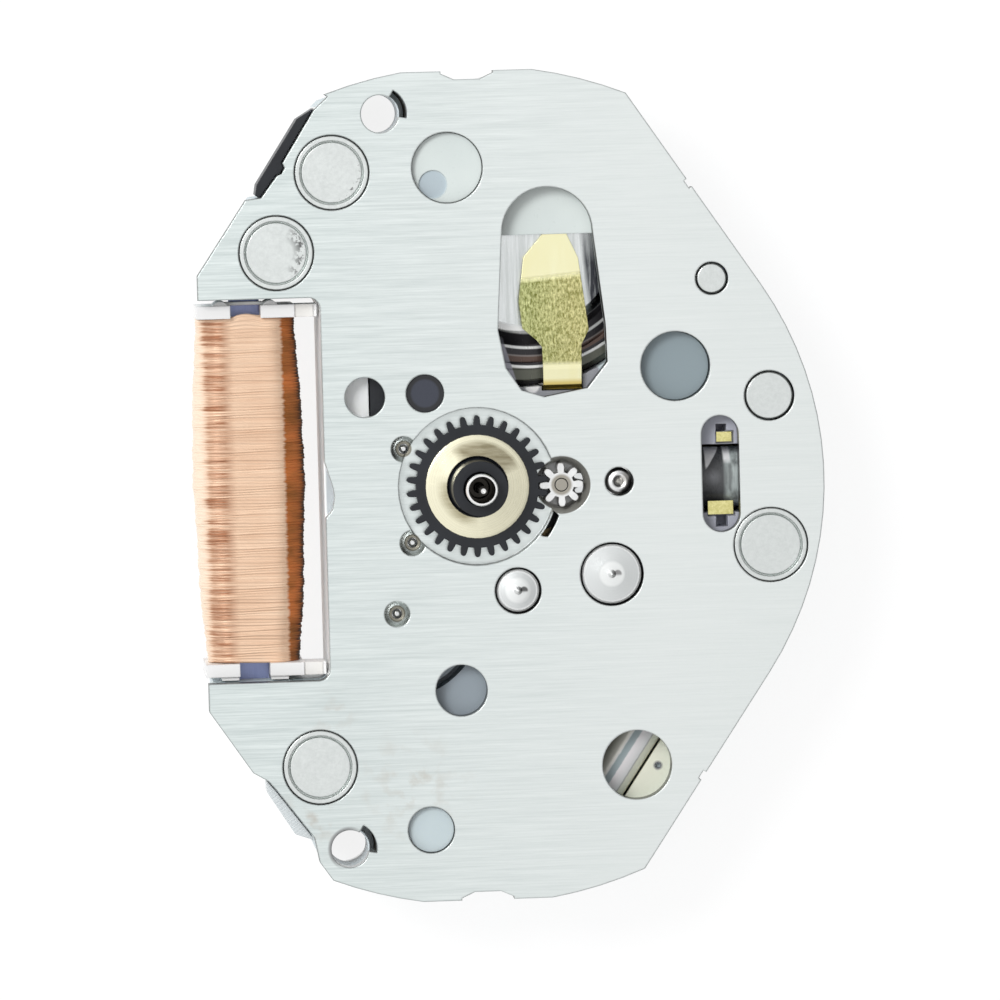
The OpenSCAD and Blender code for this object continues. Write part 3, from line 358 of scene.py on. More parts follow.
    def stretched(self, x, y, z):
        """The place on the part times a number along each axis, for grain that is finer along it."""
        mapping = self.add("ShaderNodeMapping")
        self.put(mapping.inputs["Vector"], self.place)
        mapping.inputs["Scale"].default_value = (x / MM, y / MM, z / MM)
        return mapping.outputs["Vector"]

    def noise(self, x, y, z, detail=4, roughness=0.5):
        """Noise with a number of grains to the millimetre along each axis."""
        node = self.add("ShaderNodeTexNoise")
        self.put(node.inputs["Vector"], self.stretched(x, y, z))
        for key, value in (("Scale", 1), ("Detail", detail), ("Roughness", roughness)):
            node.inputs[key].default_value = value
        return node.outputs["Fac"]

    def even_noise(self, grains, detail=4, roughness=0.5):
        """Noise that is as fine along each axis."""
        return self.noise(grains, grains, grains, detail, roughness)

    def rows(self, value, scale, detail=3):
        """Noise in rows along a value, such as the rings that a lathe leaves along a radius."""
        node = self.add("ShaderNodeTexNoise", noise_dimensions="1D")
        self.put(node.inputs["W"], self.maths("MULTIPLY", value, scale))
        node.inputs["Detail"].default_value = detail
        return node.outputs["Fac"]

    # Surface directions

    def facing(self, axis, edge=0.0):
        """How far the surface faces along an axis, on edges rounded by a width."""
        if edge:
            node = self.add("ShaderNodeBevel", samples=6)
            node.inputs["Radius"].default_value = edge * MM
        else:
            node = self.add("ShaderNodeNewGeometry")
        split = self.add("ShaderNodeSeparateXYZ")
        self.put(split.inputs[0], node.outputs["Normal"])
        return split.outputs[axis]

    def level(self):
        """1 on the faces that look up, and 0 elsewhere."""
        return self.span(self.facing("Z"), 0.80, 0.95)

    def rim(self, width):
        """1 along the rim of the faces that look up, and 0 elsewhere."""
        return self.all_of(self.span(self.facing("Z", edge=width), 0.99, 0.80), self.level())

    def bump(self, height, depth, edge=0.0):
        """A normal raised by a height from 0 to 1, times a depth, on edges rounded by a width."""
        node = self.add("ShaderNodeBump")
        self.put(node.inputs["Height"], height)
        node.inputs["Distance"].default_value = depth * MM
        if edge:
            bevel = self.add("ShaderNodeBevel", samples=4)
            bevel.inputs["Radius"].default_value = edge * MM
            self.put(node.inputs["Normal"], bevel.outputs["Normal"])
        return node.outputs["Normal"]


def painted_plate_walls(s, tint):
    """The walls of the plate's openings, painted dark as shade, but painted pale as light by the coil, in the
    foot holes and in one window.
    """
    x, y = s.along("X"), s.along("Y")
    beside_coil = s.all_of(s.span(x, COIL_WALL, COIL_WALL + 0.06), s.between(x, COIL_WALL, COIL_WALL + 0.5),
                           s.span(s.maths("ABSOLUTE", y), COIL_WALL_HALF, COIL_WALL_HALF - 0.2))
    in_feet = [s.span(s.radius_from(*foot), FOOT_R, FOOT_R - 0.04) for foot in (UPPER_FOOT, LOWER_FOOT)]
    middle = HALF_WINDOW[0]
    in_window = s.all_of(s.span(s.radius_from(*HALF_WINDOW), HALF_WINDOW_R, HALF_WINDOW_R - 0.04),
                         s.span(x, middle + 0.1, middle - 0.1))
    pale = s.any_of(beside_coil, *in_feet, in_window)
    # Painted shade on the walls, and painted light on the pale ones
    wall = s.mix(pale, (0.15, 0.155, 0.15), (0.95, 0.96, 0.96))
    return s.mix(s.span(s.facing("Z"), 0.40, 0.25), tint, wall)


def plate_face():
    """Brushed nickel with faint stains near 7 o'clock, painted dark reflections on its left edges where they
    roll over, and painted shade in its sinks, foot hole and cone.
    """
    s = Shader("plate_nickel")
    x = s.along("X")
    lines = s.noise(0.5, 21, 21, detail=7, roughness=0.75)
    shade = s.weighted((lines, 0.75), (s.noise(0.35, 8, 8), 0.25))
    side = s.span(x, -4.5, 4.0)
    light = s.mix(side, (0.86, 0.925, 0.91), (0.87, 0.91, 0.895))
    dull = s.mix(side, (0.60, 0.67, 0.66), (0.80, 0.845, 0.83))
    tint = s.mix(s.span(shade, 0.36, 0.64), dull, light)
    specks = s.span(s.even_noise(2.6, detail=7), 0.50, 0.74)
    for place, radius, stain in STAINS:
        tint = s.mix(s.all_of(s.span(s.radius_from(*place), radius, 0), specks), tint, stain)
    # Painted dark reflection along the left edges, where they roll over
    edge_dark_reflection = s.all_of(s.rim(0.055), s.span(x, -0.5, -3.4, 0.20, 0.75))
    tint = s.mix(edge_dark_reflection, tint, (0.13, 0.14, 0.135))
    # Painted shade: a grey crescent at the upper left of the lower foot hole, where its wall shows
    at_foot = s.span(s.radius_from(*LOWER_FOOT), FOOT_SHADE_R, FOOT_SHADE_R - 0.05)
    foot_hole_shade = s.all_of(s.wedge(*LOWER_FOOT, 150, 80, soft=25), at_foot, s.level())
    tint = s.mix(foot_hole_shade, tint, (0.36, 0.37, 0.37))
    for sink in WHEEL_SINKS:
        shadow = s.all_of(s.wedge(*sink, 175, 62, soft=25),
                          s.between(s.radius_from(*sink), PIVOT_R, SINK_SHADE_R, soft=0.015))
        tint = s.mix(shadow, tint, (0.20, 0.21, 0.20))
    nearest = s.nearest_of((*WHEEL_SINKS, STUD_PLACE))
    tint = s.mix(s.span(nearest, PIVOT_R, PIVOT_R - 0.02), tint, (0.30, 0.29, 0.24))
    tint = painted_plate_walls(s, tint)
    # Painted shade on the minute wheel's cone, darker towards the right
    at_cone = s.span(s.radius_from(*MINUTE_PLACE), MINUTE_CONE_R, MINUTE_CONE_R - 0.02)
    cone = s.all_of(at_cone, s.span(s.facing("Z"), 0.97, 0.90))
    tint = s.mix(cone, tint, s.mix(s.span(x, 1.5, 2.35), (0.50, 0.50, 0.46), (0.26, 0.255, 0.23)))
    polish = s.maths("MULTIPLY", s.span(nearest, SINK_POLISH_R, SINK_POLISH_R - 0.03), 0.04)
    return s.surface(
        Base_Color=tint, Metallic=s.span(cone, 0, 1, 1.0, 0.1),
        Roughness=s.maths("SUBTRACT", s.varied(lines, 0.34, 0.06), polish),
        Normal=s.bump(lines, 0.0022, edge=0.045),
    )


def brushed(name, colour, dark, roughness, upright=False):
    """Metal with fine brush lines along X, or along Y, and faint clouding."""
    s = Shader(name)
    fine, wide = ((24, 0.9, 24), (4.5, 0.4, 4.5)) if upright else ((0.9, 24, 24), (0.4, 4.5, 4.5))
    lines = s.noise(*fine, detail=6, roughness=0.7)
    shade = s.weighted((lines, 0.6), (s.noise(*wide, detail=3), 0.2), (s.even_noise(0.3, detail=2), 0.2))
    return s.surface(
        Base_Color=s.mix(s.span(shade, 0.34, 0.66), dark, colour), Metallic=1.0,
        Roughness=s.varied(lines, roughness, 0.05), Normal=s.bump(lines, 0.0025, edge=0.02),
    )


def cell_reflections(s, radius):
    """Painted reflections: the rings that the battery's rim and cap mirror, as colours by their radius."""
    dark, pale, grey = (0.030, 0.028, 0.032), (0.88, 0.89, 0.88), (0.75, 0.78, 0.78)
    mauve, brown_band, olive = (0.28, 0.25, 0.24), (0.13, 0.082, 0.066), (0.115, 0.120, 0.095)
    return s.bands(radius, (
        (2.04, grey), (2.11, pale), (2.22, pale), (2.26, dark), (2.51, dark), (2.535, pale), (2.57, pale),
        (2.59, dark), (2.70, dark), (2.73, mauve), (2.76, brown_band), (2.86, brown_band), (2.88, dark), (2.93, dark),
        (2.945, pale), (2.985, pale), (3.01, olive), (3.26, olive), (3.29, dark), (3.40, dark),
    ))


def cell_steel():
    """The battery's steel, scratched along Y, with painted reflections of its rim's rings and a painted
    shadow, on the dial side.
    """
    s = Shader("cell_steel")
    x, y = s.along("X"), s.along("Y")
    radius = s.radius_from(*CELL_PLACE)
    lines = s.noise(13, 0.6, 13, detail=6, roughness=0.7)
    shade = s.weighted((lines, 0.6), (s.noise(3.5, 0.35, 3.5, detail=3), 0.4))
    flat = s.mix(s.span(shade, 0.38, 0.62), (0.58, 0.61, 0.60), (0.86, 0.89, 0.89))
    # Painted shade: dark streaks beside the slot's right wall, where the cap mirrors it
    streaks = s.noise(12, 0.5, 12, detail=5, roughness=0.7)
    beside = s.span(s.leaning(x, y, CELL_SHADE_Y, -0.112), 2.60, 2.70)
    shadow = s.all_of(beside, s.span(streaks, 0.20, 0.50), s.span(y, 6.0, 4.8))
    flat = s.mix(shadow, flat, (0.05, 0.053, 0.062))
    left_rim = s.all_of(s.span(radius, 2.04, 2.08), s.span(x, 1.7, 1.5))
    rim = s.any_of(s.span(radius, 2.22, 2.26), left_rim)
    # Painted reflections of the rings in the rim
    tint = s.mix(rim, flat, cell_reflections(s, radius))
    lip = s.all_of(s.span(s.leaning(x, y, CELL_LIP_Y, -0.305), 0.66, 0.63), s.span(y, 3.25, 3.15))
    tint = s.mix(lip, tint, (0.34, 0.34, 0.39))
    dial_side = s.span(s.along("Z"), -2.0, -1.9)
    return s.surface(
        Base_Color=s.mix(dial_side, (0.68, 0.70, 0.69), tint),
        Metallic=s.span(s.all_of(rim, dial_side), 0, 1, 1.0, 0.35),
        Roughness=s.varied(lines, 0.24, 0.06), Normal=s.bump(lines, 0.0025, edge=0.02),
    )


def turned(name, colour, dark, roughness, grain=14, depth=0.002):
    """Small metal parts with a fine worked grain and slight clouding."""
    s = Shader(name)
    fine = s.even_noise(grain, detail=5, roughness=0.6)
    shade = s.weighted((fine, 0.5), (s.even_noise(1.6, detail=3), 0.5))
    return s.surface(
        Base_Color=s.mix(s.span(shade, 0.4, 0.6), dark, colour), Metallic=1.0,
        Roughness=s.varied(fine, roughness, 0.05), Normal=s.bump(fine, depth, edge=0.015),
    )


def post_faces():
    """Steel turned in rings round each post, with painted highlights on its middle and rim, and a small
    painted shadow right of its middle, cast by its central cone.
    """
    s = Shader("turned_posts")
    nearest = s.nearest_of((BIG_POST, SMALL_POST))
    rings = s.rows(nearest, 22)
    tint = s.mix(s.span(rings, 0.35, 0.65), (0.72, 0.745, 0.74), (0.79, 0.815, 0.81))
    # Painted highlight on each post's middle
    tint = s.mix(s.span(nearest, 0.30, 0.24), tint, (0.93, 0.95, 0.94))
    # Painted highlight on each post's rim
    rim = s.any_of(s.between(s.radius_from(*SMALL_POST), 0.40, 0.50),
                   s.between(s.radius_from(*BIG_POST), 0.59, 0.70))
    tint = s.mix(rim, tint, (0.95, 0.97, 0.96))
    # Painted shadow right of each post's middle, cast by its central cone
    for (x, y), grey in ((SMALL_POST, 0.16), (BIG_POST, 0.34)):
        nib_shadow = s.all_of(s.span(s.radius_from(x + 0.13, y), 0.10, 0.07), s.span(s.along("Y"), y - 0.05, y))
        tint = s.mix(nib_shadow, tint, (grey, grey, grey))
    return s.surface(Base_Color=tint, Metallic=s.span(rim, 0, 1, 1.0, 0.2), Roughness=0.34,
                     Normal=s.bump(rings, 0.0015, edge=0.02))


def stud_heads():
    """Pressed pillars with a blasted middle. The two at 11 o'clock have dents on their right side, painted
    dark as they mirror the dark right of the room.
    """
    s = Shader("stud_heads")
    grain = s.even_noise(11, detail=6, roughness=0.7)
    shade = s.weighted((s.rows(s.nearest_of(PILLARS), 20), 0.35), (grain, 0.65))
    tint = s.mix(s.span(shade, 0.38, 0.62), (0.70, 0.735, 0.72), (0.80, 0.835, 0.82))
    specks = s.even_noise(5, detail=5, roughness=0.7)
    # Dents on the right of two pillars, painted dark where they mirror the dark right of the room
    dents_and_reflection = ((LEFT_PILLAR, 0, 50, 0.34, 0.50), (UPPER_PILLAR, -25, 42, 0.50, 0.56))
    for pillar, heading, half, inner, speck_start in dents_and_reflection:
        radius = s.radius_from(*pillar)
        ring = s.all_of(s.span(radius, inner, 0.56), s.span(radius, 0.64, 0.60))
        band = s.all_of(s.wedge(*pillar, heading, half), ring)
        dent_reflection = s.span(specks, speck_start - 0.03, speck_start + 0.05)
        tint = s.mix(s.all_of(band, dent_reflection), tint, (0.12, 0.12, 0.12))
    return s.surface(Base_Color=tint, Metallic=1.0, Roughness=s.varied(grain, 0.36, 0.06),
                     Normal=s.bump(shade, 0.003, edge=0.03))


def pinion_steel():
    """The minute pinion: bright leaves on a bright disc, with flanks painted grey as shade, a dull middle,
    and a rim painted duller towards the right as shade.
    """
    s = Shader("pinion_steel")
    fine = s.even_noise(6, detail=5)
    radius = s.radius_from(*MINUTE_PLACE)
    # Painted shade: the rim is duller towards the right
    disc = s.mix(s.span(s.along("X"), 1.5, 2.35), (0.62, 0.62, 0.58), (0.36, 0.355, 0.33))
    leaves = s.mix(s.span(fine, 0.4, 0.6), (0.86, 0.87, 0.865), (0.96, 0.97, 0.965))
    face = s.mix(s.span(radius, 0.45, 0.475), leaves, disc)
    face = s.mix(s.span(radius, 0.25, 0.20), face, (0.40, 0.375, 0.32))
    # The flanks are painted grey as shade
    return s.surface(Base_Color=s.mix(s.level(), (0.50, 0.50, 0.49), face), Metallic=0.1, Roughness=0.34,
                     Normal=s.bump(fine, 0.001, edge=0.02))


def stud_steel():
    """The setting wheel's stud: a turned cap, with a painted highlight as a bright crescent on its left, and
    painted shade in the hollows round it.
    """
    s = Shader("stud_steel")
    fine = s.even_noise(9)
    hollow_shade = (0.07, 0.07, 0.07)
    tint = s.mix(s.span(fine, 0.4, 0.6), (0.62, 0.61, 0.58), (0.74, 0.73, 0.70))
    # Painted highlight: a bright crescent on the cap's left
    tint = s.mix(s.arc(STUD_PLACE, 0.13, 0.235, 180, 118), tint, (0.95, 0.96, 0.96))
    tint = s.mix(s.arc(STUD_PLACE, 0.05, 0.13, 180, 110), tint, (0.08, 0.08, 0.08))
    # Painted shade in the hollows round the cap
    tint = s.mix(s.arc(STUD_PLACE, 0.235, 0.31, 85, 42), tint, hollow_shade)
    tint = s.mix(s.arc(STUD_PLACE, 0.19, 0.31, -35, 48), tint, hollow_shade)
    skirt = s.all_of(s.span(s.radius_from(*STUD_PLACE), 0.245, 0.26), s.wedge(*STUD_PLACE, 190, 60))
    tint = s.mix(skirt, tint, (0.42, 0.43, 0.43))
    return s.surface(Base_Color=tint, Metallic=0.7, Roughness=0.32, Normal=s.bump(fine, 0.001, edge=0.012))


def crystal_can():
    """The crystal's can, with painted reflections: the room over it, mirrored as bands along it."""
    s = Shader("crystal_can")
    fine = s.even_noise(8)
    across = s.shifted(s.slanted(*CRYSTAL_PLACE, CRYSTAL_HEADING - 90), fine, 0.03)
    blue, cream = (0.36, 0.44, 0.46), (0.99, 0.98, 0.83)
    rows = s.bands(across, (
        (-0.60, (0.16, 0.16, 0.13)), (-0.32, (0.22, 0.22, 0.18)), (-0.12, (0.52, 0.52, 0.46)),
        (-0.07, (0.97, 0.96, 0.88)), (-0.03, (0.97, 0.96, 0.92)), (0.0, blue), (0.12, (0.42, 0.50, 0.52)),
        (0.15, (1.0, 0.97, 0.98)), (0.36, (1.0, 0.99, 1.0)), (0.39, (0.60, 0.59, 0.57)),
        (0.42, cream), (0.60, cream),
    ))
    tint = s.mix(s.span(s.along("Z"), -1.2, -1.0), (0.72, 0.73, 0.73), rows)
    return s.surface(Base_Color=tint, Metallic=0.0, Roughness=0.38, Normal=s.bump(fine, 0.001, edge=0.02))


def arbor_steel(name, highlight_from=None, inner=-1, outer=0):
    """Steel painted dark, partly as oil and partly as the shade in the centre's hollows. Where a height is
    given, a painted highlight lies above it, between two radii from the centre.
    """
    s = Shader(name)
    fine = s.even_noise(6)
    # The dark is partly oil and partly painted shade
    tint = (0.035, 0.032, 0.028)
    # Painted highlight on the cannon's chamfer and on the seconds arbor's tip
    if highlight_from is not None:
        radius = s.radius_from(*CENTRE)
        lit = s.all_of(s.span(s.along("Z"), highlight_from - 0.04, highlight_from),
                       s.span(radius, inner - 0.01, inner), s.span(radius, outer + 0.01, outer))
        tint = s.mix(lit, tint, (0.94, 0.94, 0.93))
    return s.surface(Base_Color=tint, Metallic=1.0, Roughness=s.varied(fine, 0.24, 0.04),
                     Normal=s.bump(fine, 0.0008, edge=0.012))


def clutch_steel():
    """Polished steel with painted reflections: its side towards 12 o'clock is painted bright in a slant, with
    pale streaks on its right, and the rest is painted dark, as the dark that it mirrors.
    """
    s = Shader("clutch_steel")
    x, y = s.along("X"), s.along("Y")
    fine = s.noise(10, 3, 10, detail=5)
    # Painted reflections: a faint sheen, pale streaks at the right, and bright slants towards 12 o'clock
    sheen = s.span(s.radius_from(*CLUTCH_SHEEN), 0.22, 0.0)
    tint = s.mix(sheen, (0.075, 0.078, 0.082), (0.20, 0.205, 0.22))
    streaks = s.span(s.noise(9, 0.5, 9), 0.35, 0.6, 0.35, 1.0)
    tint = s.mix(s.all_of(s.span(x, 5.42, 5.54), streaks), tint, (0.50, 0.56, 0.55))
    slant = s.span(s.leaning(y, x, CLUTCH_X, 1.46), 0.22, 0.26)
    left_lit = s.all_of(slant, s.span(x, 5.03, 5.06), s.span(y, 0.18, 0.26))
    right_lit = s.all_of(s.between(x, 5.45, 5.60), s.span(y, 0.30, 0.42))
    tint = s.mix(s.any_of(left_lit, right_lit), tint, (1.0, 1.0, 1.0))
    return s.surface(Base_Color=tint, Metallic=0.0, Roughness=s.varied(fine, 0.29, 0.05),
                     Normal=s.bump(fine, 0.001, edge=0.02))


def moulded(name, colour, dark, roughness, patches=(), strip=None, **more):
    """Moulded plastic with a fine skin texture and slight clouding.

    A patch has a place, a radius and a tone. A strip has two distances along X and a tone.
    """
    s = Shader(name)
    skin = s.even_noise(9, roughness=0.6)
    tint = s.mix(s.span(s.even_noise(0.7, detail=2), 0.35, 0.65), dark, colour)
    for place, radius, tone in patches:
        tint = s.mix(s.span(s.radius_from(*place), radius, radius - 0.05), tint, tone)
    if strip:
        start, end, tone = strip
        tint = s.mix(s.between(s.along("X"), start, end), tint, tone)
    return s.surface(Base_Color=tint, Roughness=s.varied(skin, roughness, 0.06),
                     Normal=s.bump(skin, 0.004, edge=0.03), **more)


def milky(weight, reach):
    """Settings of a surface that lets light in, with its reach for red, green and blue."""
    radius = tuple(length * MM for length in reach)
    return {"Subsurface_Weight": weight, "Subsurface_Radius": radius, "Subsurface_Scale": 1.0}


def ribbed_plastic():
    """Milky plastic with fine ribs across the flank of the plate."""
    s = Shader("milky_plastic")
    ribs = s.rows(s.slanted(*CENTRE, -56), 9, detail=2)
    return s.surface(
        Base_Color=s.mix(s.span(ribs, 0.35, 0.65), (0.62, 0.68, 0.70), (0.80, 0.85, 0.86)),
        Roughness=s.varied(s.even_noise(9), 0.30, 0.06), Normal=s.bump(ribs, 0.01, edge=0.03),
        **milky(0.2, (0.4, 0.4, 0.4)),
    )


def spring_leaf():
    """Gilt strip: polished at its tip and at its folds, sandblasted between them, with painted reflections at
    the lower fold.
    """
    s = Shader("gilt_leaf")
    x, y = s.along("X"), s.along("Y")
    blasted = s.all_of(s.span(s.leaning(y, x, LEAF_X, 0.09), 4.58, 4.42), s.span(y, 2.58, 2.68))
    grains = s.noise(24, 11, 24, roughness=0.75)
    polished = s.mix(s.noise(3, 0.6, 3, detail=3), (0.93, 0.88, 0.50), (0.985, 0.965, 0.66))
    # Painted reflections at the lower fold: darker gold, then a dark line
    polished = s.mix(s.span(y, 2.30, 2.20), polished, (0.74, 0.60, 0.22))
    polished = s.mix(s.between(y, 2.09, 2.16), polished, (0.38, 0.29, 0.07))
    side = s.span(x, 1.2, 2.2)
    hollows = s.mix(side, (0.20, 0.22, 0.06), (0.27, 0.26, 0.08))
    peaks = s.mix(side, (0.66, 0.68, 0.34), (0.74, 0.70, 0.36))
    matte = s.mix(s.span(grains, 0.38, 0.62), hollows, peaks)
    return s.surface(
        Base_Color=s.mix(blasted, polished, matte), Metallic=1.0, Roughness=s.span(blasted, 0, 1, 0.16, 0.5),
        Normal=s.bump(s.maths("MULTIPLY", grains, blasted), 0.014, edge=0.02),
    )


def copper_wire():
    """Enamelled wire side by side: pale on top, with painted reflections streaked by the left shoulder, a
    painted highlight at the far left, and painted shade dark on the right flank.
    """
    s = Shader("enamelled_wire")
    x = s.along("X")
    turns = s.noise(0.10, 15, 0.10, detail=5, roughness=0.75)
    blotches = s.noise(0.8, 2.2, 0.8)
    streaks = s.noise(0.45, 16, 0.45, detail=5, roughness=0.8)
    tone = s.weighted((turns, 0.7), (blotches, 0.3))
    copper = s.mix(s.span(tone, 0.36, 0.60), (0.80, 0.53, 0.36), (0.95, 0.70, 0.51))
    # Painted reflections: dark streaks, turn by turn, on the left shoulder
    ragged = s.shifted(x, streaks, 0.60)
    band = s.all_of(s.span(ragged, -5.90, -5.78), s.span(ragged, -5.20, -5.42))
    copper = s.mix(s.all_of(band, s.span(streaks, 0.40, 0.60)), copper, (0.40, 0.17, 0.085))
    # Painted highlight at the far left edge
    copper = s.mix(s.span(ragged, -5.82, -5.98), copper, (0.99, 0.82, 0.66))
    # Painted shade on the right flank, darkest where it faces right
    right_flank_shade = s.mix(s.span(blotches, 0.38, 0.62), (0.34, 0.125, 0.030), (0.66, 0.215, 0.058))
    right_flank_shade = s.mix(s.span(s.facing("X"), 0.72, 0.88), right_flank_shade, (0.05, 0.022, 0.010))
    copper = s.mix(s.span(s.shifted(x, streaks, 0.25), -4.19, -4.13), copper, right_flank_shade)
    return s.surface(Base_Color=copper, Metallic=0.45, Roughness=s.varied(turns, 0.52, 0.06),
                     Normal=s.bump(turns, 0.008), Specular_IOR_Level=0.35)


def washer_foil():
    """Pale brass foil, spun in rings, with two dull reflections painted beside the hub where it bows."""
    s = Shader("spun_foil")
    radius = s.radius_from(*CENTRE)
    rings = s.rows(radius, 14)
    drawn = s.noise(1.5, 9, 1.5)
    tint = s.mix(s.span(rings, 0.3, 0.7), (0.88, 0.84, 0.62), (0.965, 0.93, 0.72))
    # Painted reflections: two dull wedges beside the hub, as the spun rings mirror the room
    upper = s.all_of(s.wedge(*CENTRE, 74, 46, soft=8), s.span(radius, 1.04, 0.94))
    lower = s.all_of(s.wedge(*CENTRE, 216, 42, soft=14), s.span(radius, 0.92, 0.72))
    tint = s.mix(s.all_of(upper, s.span(drawn, 0.3, 0.7, 0.55, 1.0)), tint, (0.30, 0.26, 0.16))
    tint = s.mix(s.all_of(lower, s.span(drawn, 0.3, 0.7, 0.5, 0.95)), tint, (0.33, 0.29, 0.17))
    return s.surface(Base_Color=tint, Metallic=1.0, Roughness=s.varied(s.even_noise(6), 0.24, 0.04),
                     Normal=s.bump(rings, 0.001, edge=0.02))


def plastic_finishes():
    """The plastics and laminates, each with the CAD nodes that it is for."""
    black, black_dark = (0.018, 0.021, 0.027), (0.010, 0.012, 0.016)
    # The main frame carries painted shade and light in the plate's openings, and painted light on a strip by
    # the coil
    pale_frame = moulded(
        "pale_plastic", (0.66, 0.76, 0.79), (0.60, 0.70, 0.73), 0.40, patches=FRAME_SHADE_AND_LIGHT,
        strip=(*FRAME_LIT_STRIP, (0.97, 0.98, 0.98)), **milky(0.1, (0.3, 0.3, 0.4)),
    )
    film = moulded("clear_film", (0.80, 0.87, 0.845), (0.74, 0.81, 0.79), 0.32,
                   patches=((FILM_DARK_DISC, 0.33, (0.52, 0.61, 0.66)),))
    pad = moulded("pad_laminate", (0.98, 0.98, 0.83), (0.91, 0.91, 0.76), 0.35,
                  patches=((LEAD_HOLE, 0.12, (0.22, 0.22, 0.23)),))
    plug = moulded("plug_plastic", (0.020, 0.021, 0.026), (0.014, 0.015, 0.018), 0.40,
                   patches=((PLUG_PLACE, 0.33, (0.042, 0.048, 0.070)),))
    return (
        (pale_frame, "main_frame"),
        (film, "battery_insulator"),
        (pad, "crystal_pad"),
        (plug, "window_plug"),
        (moulded("board_laminate", (0.56, 0.50, 0.33), (0.47, 0.42, 0.26), 0.40), "circuit_board"),
        (moulded("white_plastic", (0.96, 0.96, 0.955), (0.93, 0.93, 0.925), 0.38), "coil_bobbin"),
        (moulded("socket_plastic", (0.76, 0.83, 0.86), (0.70, 0.78, 0.81), 0.35), "dial_foot_sockets"),
        (moulded("terminal_laminate", (0.94, 0.93, 0.90), (0.84, 0.82, 0.78), 0.45), "coil_terminal"),
        (ribbed_plastic(), "edge_tab"),
        (moulded("black_plastic", black, black_dark, 0.40, Specular_IOR_Level=0.4),
         "edge_spacer", "chip_cap", "hour_wheel", "train_support"),
    )


def metal_finishes():
    """The metals, each with the CAD nodes that it is for."""
    return (
        (plate_face(), "base_plate"),
        (brushed("cover_steel", (0.74, 0.75, 0.75), (0.62, 0.63, 0.64), 0.32, upright=True), "circuit_cover"),
        (brushed("bridge_nickel", (0.76, 0.78, 0.77), (0.64, 0.66, 0.66), 0.30), "train_bridge"),
        (brushed("soft_iron", (0.62, 0.64, 0.66), (0.50, 0.52, 0.55), 0.30, upright=True), "stator"),
        (brushed("core_iron", (0.34, 0.39, 0.62), (0.25, 0.29, 0.50), 0.36, upright=True), "coil_core"),
        (cell_steel(), "battery_can", "battery_cap", "battery_gasket"),
        (spring_leaf(), "negative_contact"),
        (washer_foil(), "dial_washer"),
        (stud_heads(), "plate_pillars", "lever_pins"),
        (post_faces(), "bridge_pillars"),
        (pinion_steel(), "minute_pinion", "minute_post"),
        (stud_steel(), "setting_stud"),
        (crystal_can(), "quartz_crystal"),
        (clutch_steel(), "clutch_wheel"),
        (arbor_steel("cannon_steel", highlight_from=1.34, inner=0.27, outer=0.36), "cannon_pinion"),
        (arbor_steel("arbor_steel", highlight_from=1.2, outer=0.05), "seconds_arbor"),
        (arbor_steel("tube_steel"), "centre_tube"),
        (turned("worked_steel", (0.70, 0.73, 0.72), (0.60, 0.63, 0.62), 0.26),
         "setting_lever", "stop_lever", "cover_screws", "bridge_screws", "coil_screws"),
        (turned("bright_steel", (0.84, 0.85, 0.85), (0.72, 0.74, 0.74), 0.10, grain=6, depth=0.0008),
         "rotor_arbor", "fifth_pinion", "third_pinion", "setting_wheel"),
        (turned("wheel_brass", (0.82, 0.64, 0.30), (0.66, 0.48, 0.20), 0.24),
         "fifth_wheel", "seconds_wheel", "third_wheel"),
        # Brass painted dark as the shade it lies in, where it shows through slits
        (turned("brass_in_painted_shade", (0.26, 0.20, 0.11), (0.16, 0.12, 0.06), 0.34), "centre_wheel", "minute_wheel"),
        (turned("gilt_strip", (0.86, 0.80, 0.38), (0.62, 0.57, 0.22), 0.22),
         "positive_contact", "switch_contacts", "yoke"),
        (turned("magnet", (0.20, 0.20, 0.22), (0.13, 0.13, 0.15), 0.40), "rotor_magnet"),
    )


def finish_all():
    """Gives every CAD node that shows the finish of its real material."""
    for material, *names in (*plastic_finishes(), *metal_finishes()):
        for name in names:
            cad[name].data.materials.clear()
            cad[name].data.materials.append(material)


def smooth_shading():
    """Round walls of the CAD nodes shade as round, and their edges stay sharp."""
    for node in cad.values():
        node.data.shade_smooth()
        node.data.set_sharp_from_angle(angle=CREASE)


def wound_width(share):
    """The winding's width at a share of its length, between the measured widths."""
    for (a, wide_a), (b, wide_b) in zip(WIND_WIDTHS, WIND_WIDTHS[1:]):
        if share <= b:
            t = (share - a) / (b - a)
            t = t * t * (3 - 2 * t)
            return wide_a + (wide_b - wide_a) * t
    return WIND_WIDTHS[-1][1]


def wound_ring(width, height):
    """Points evenly spread round the winding's section, which has flat faces and sloping shoulders."""
    half, flat = width / 2, WIND_FLAT * width / 2
    top, shoulder = height / 2, height / 2 - WIND_SLOPE
    corners = [(half, -shoulder), (half, shoulder), (flat, top), (-flat, top),
               (-half, shoulder), (-half, -shoulder), (-flat, -top), (flat, -top)]
    sides = [(Vector(a), Vector(b)) for a, b in zip(corners, corners[1:] + corners[:1])]
    lengths = [(b - a).length for a, b in sides]
    points = []
    for i in range(RING_POINTS):
        along, k = sum(lengths) * i / RING_POINTS, 0
        while along > lengths[k]:
            along -= lengths[k]
            k += 1
        a, b = sides[k]
        points.append(a + (b - a) * along / lengths[k])
    for _ in range(RING_SMOOTHINGS):
        after = points[1:] + points[:1]
        points = [(points[i - 1] + points[i] * 2 + after[i]) / 4 for i in range(RING_POINTS)]
    return points


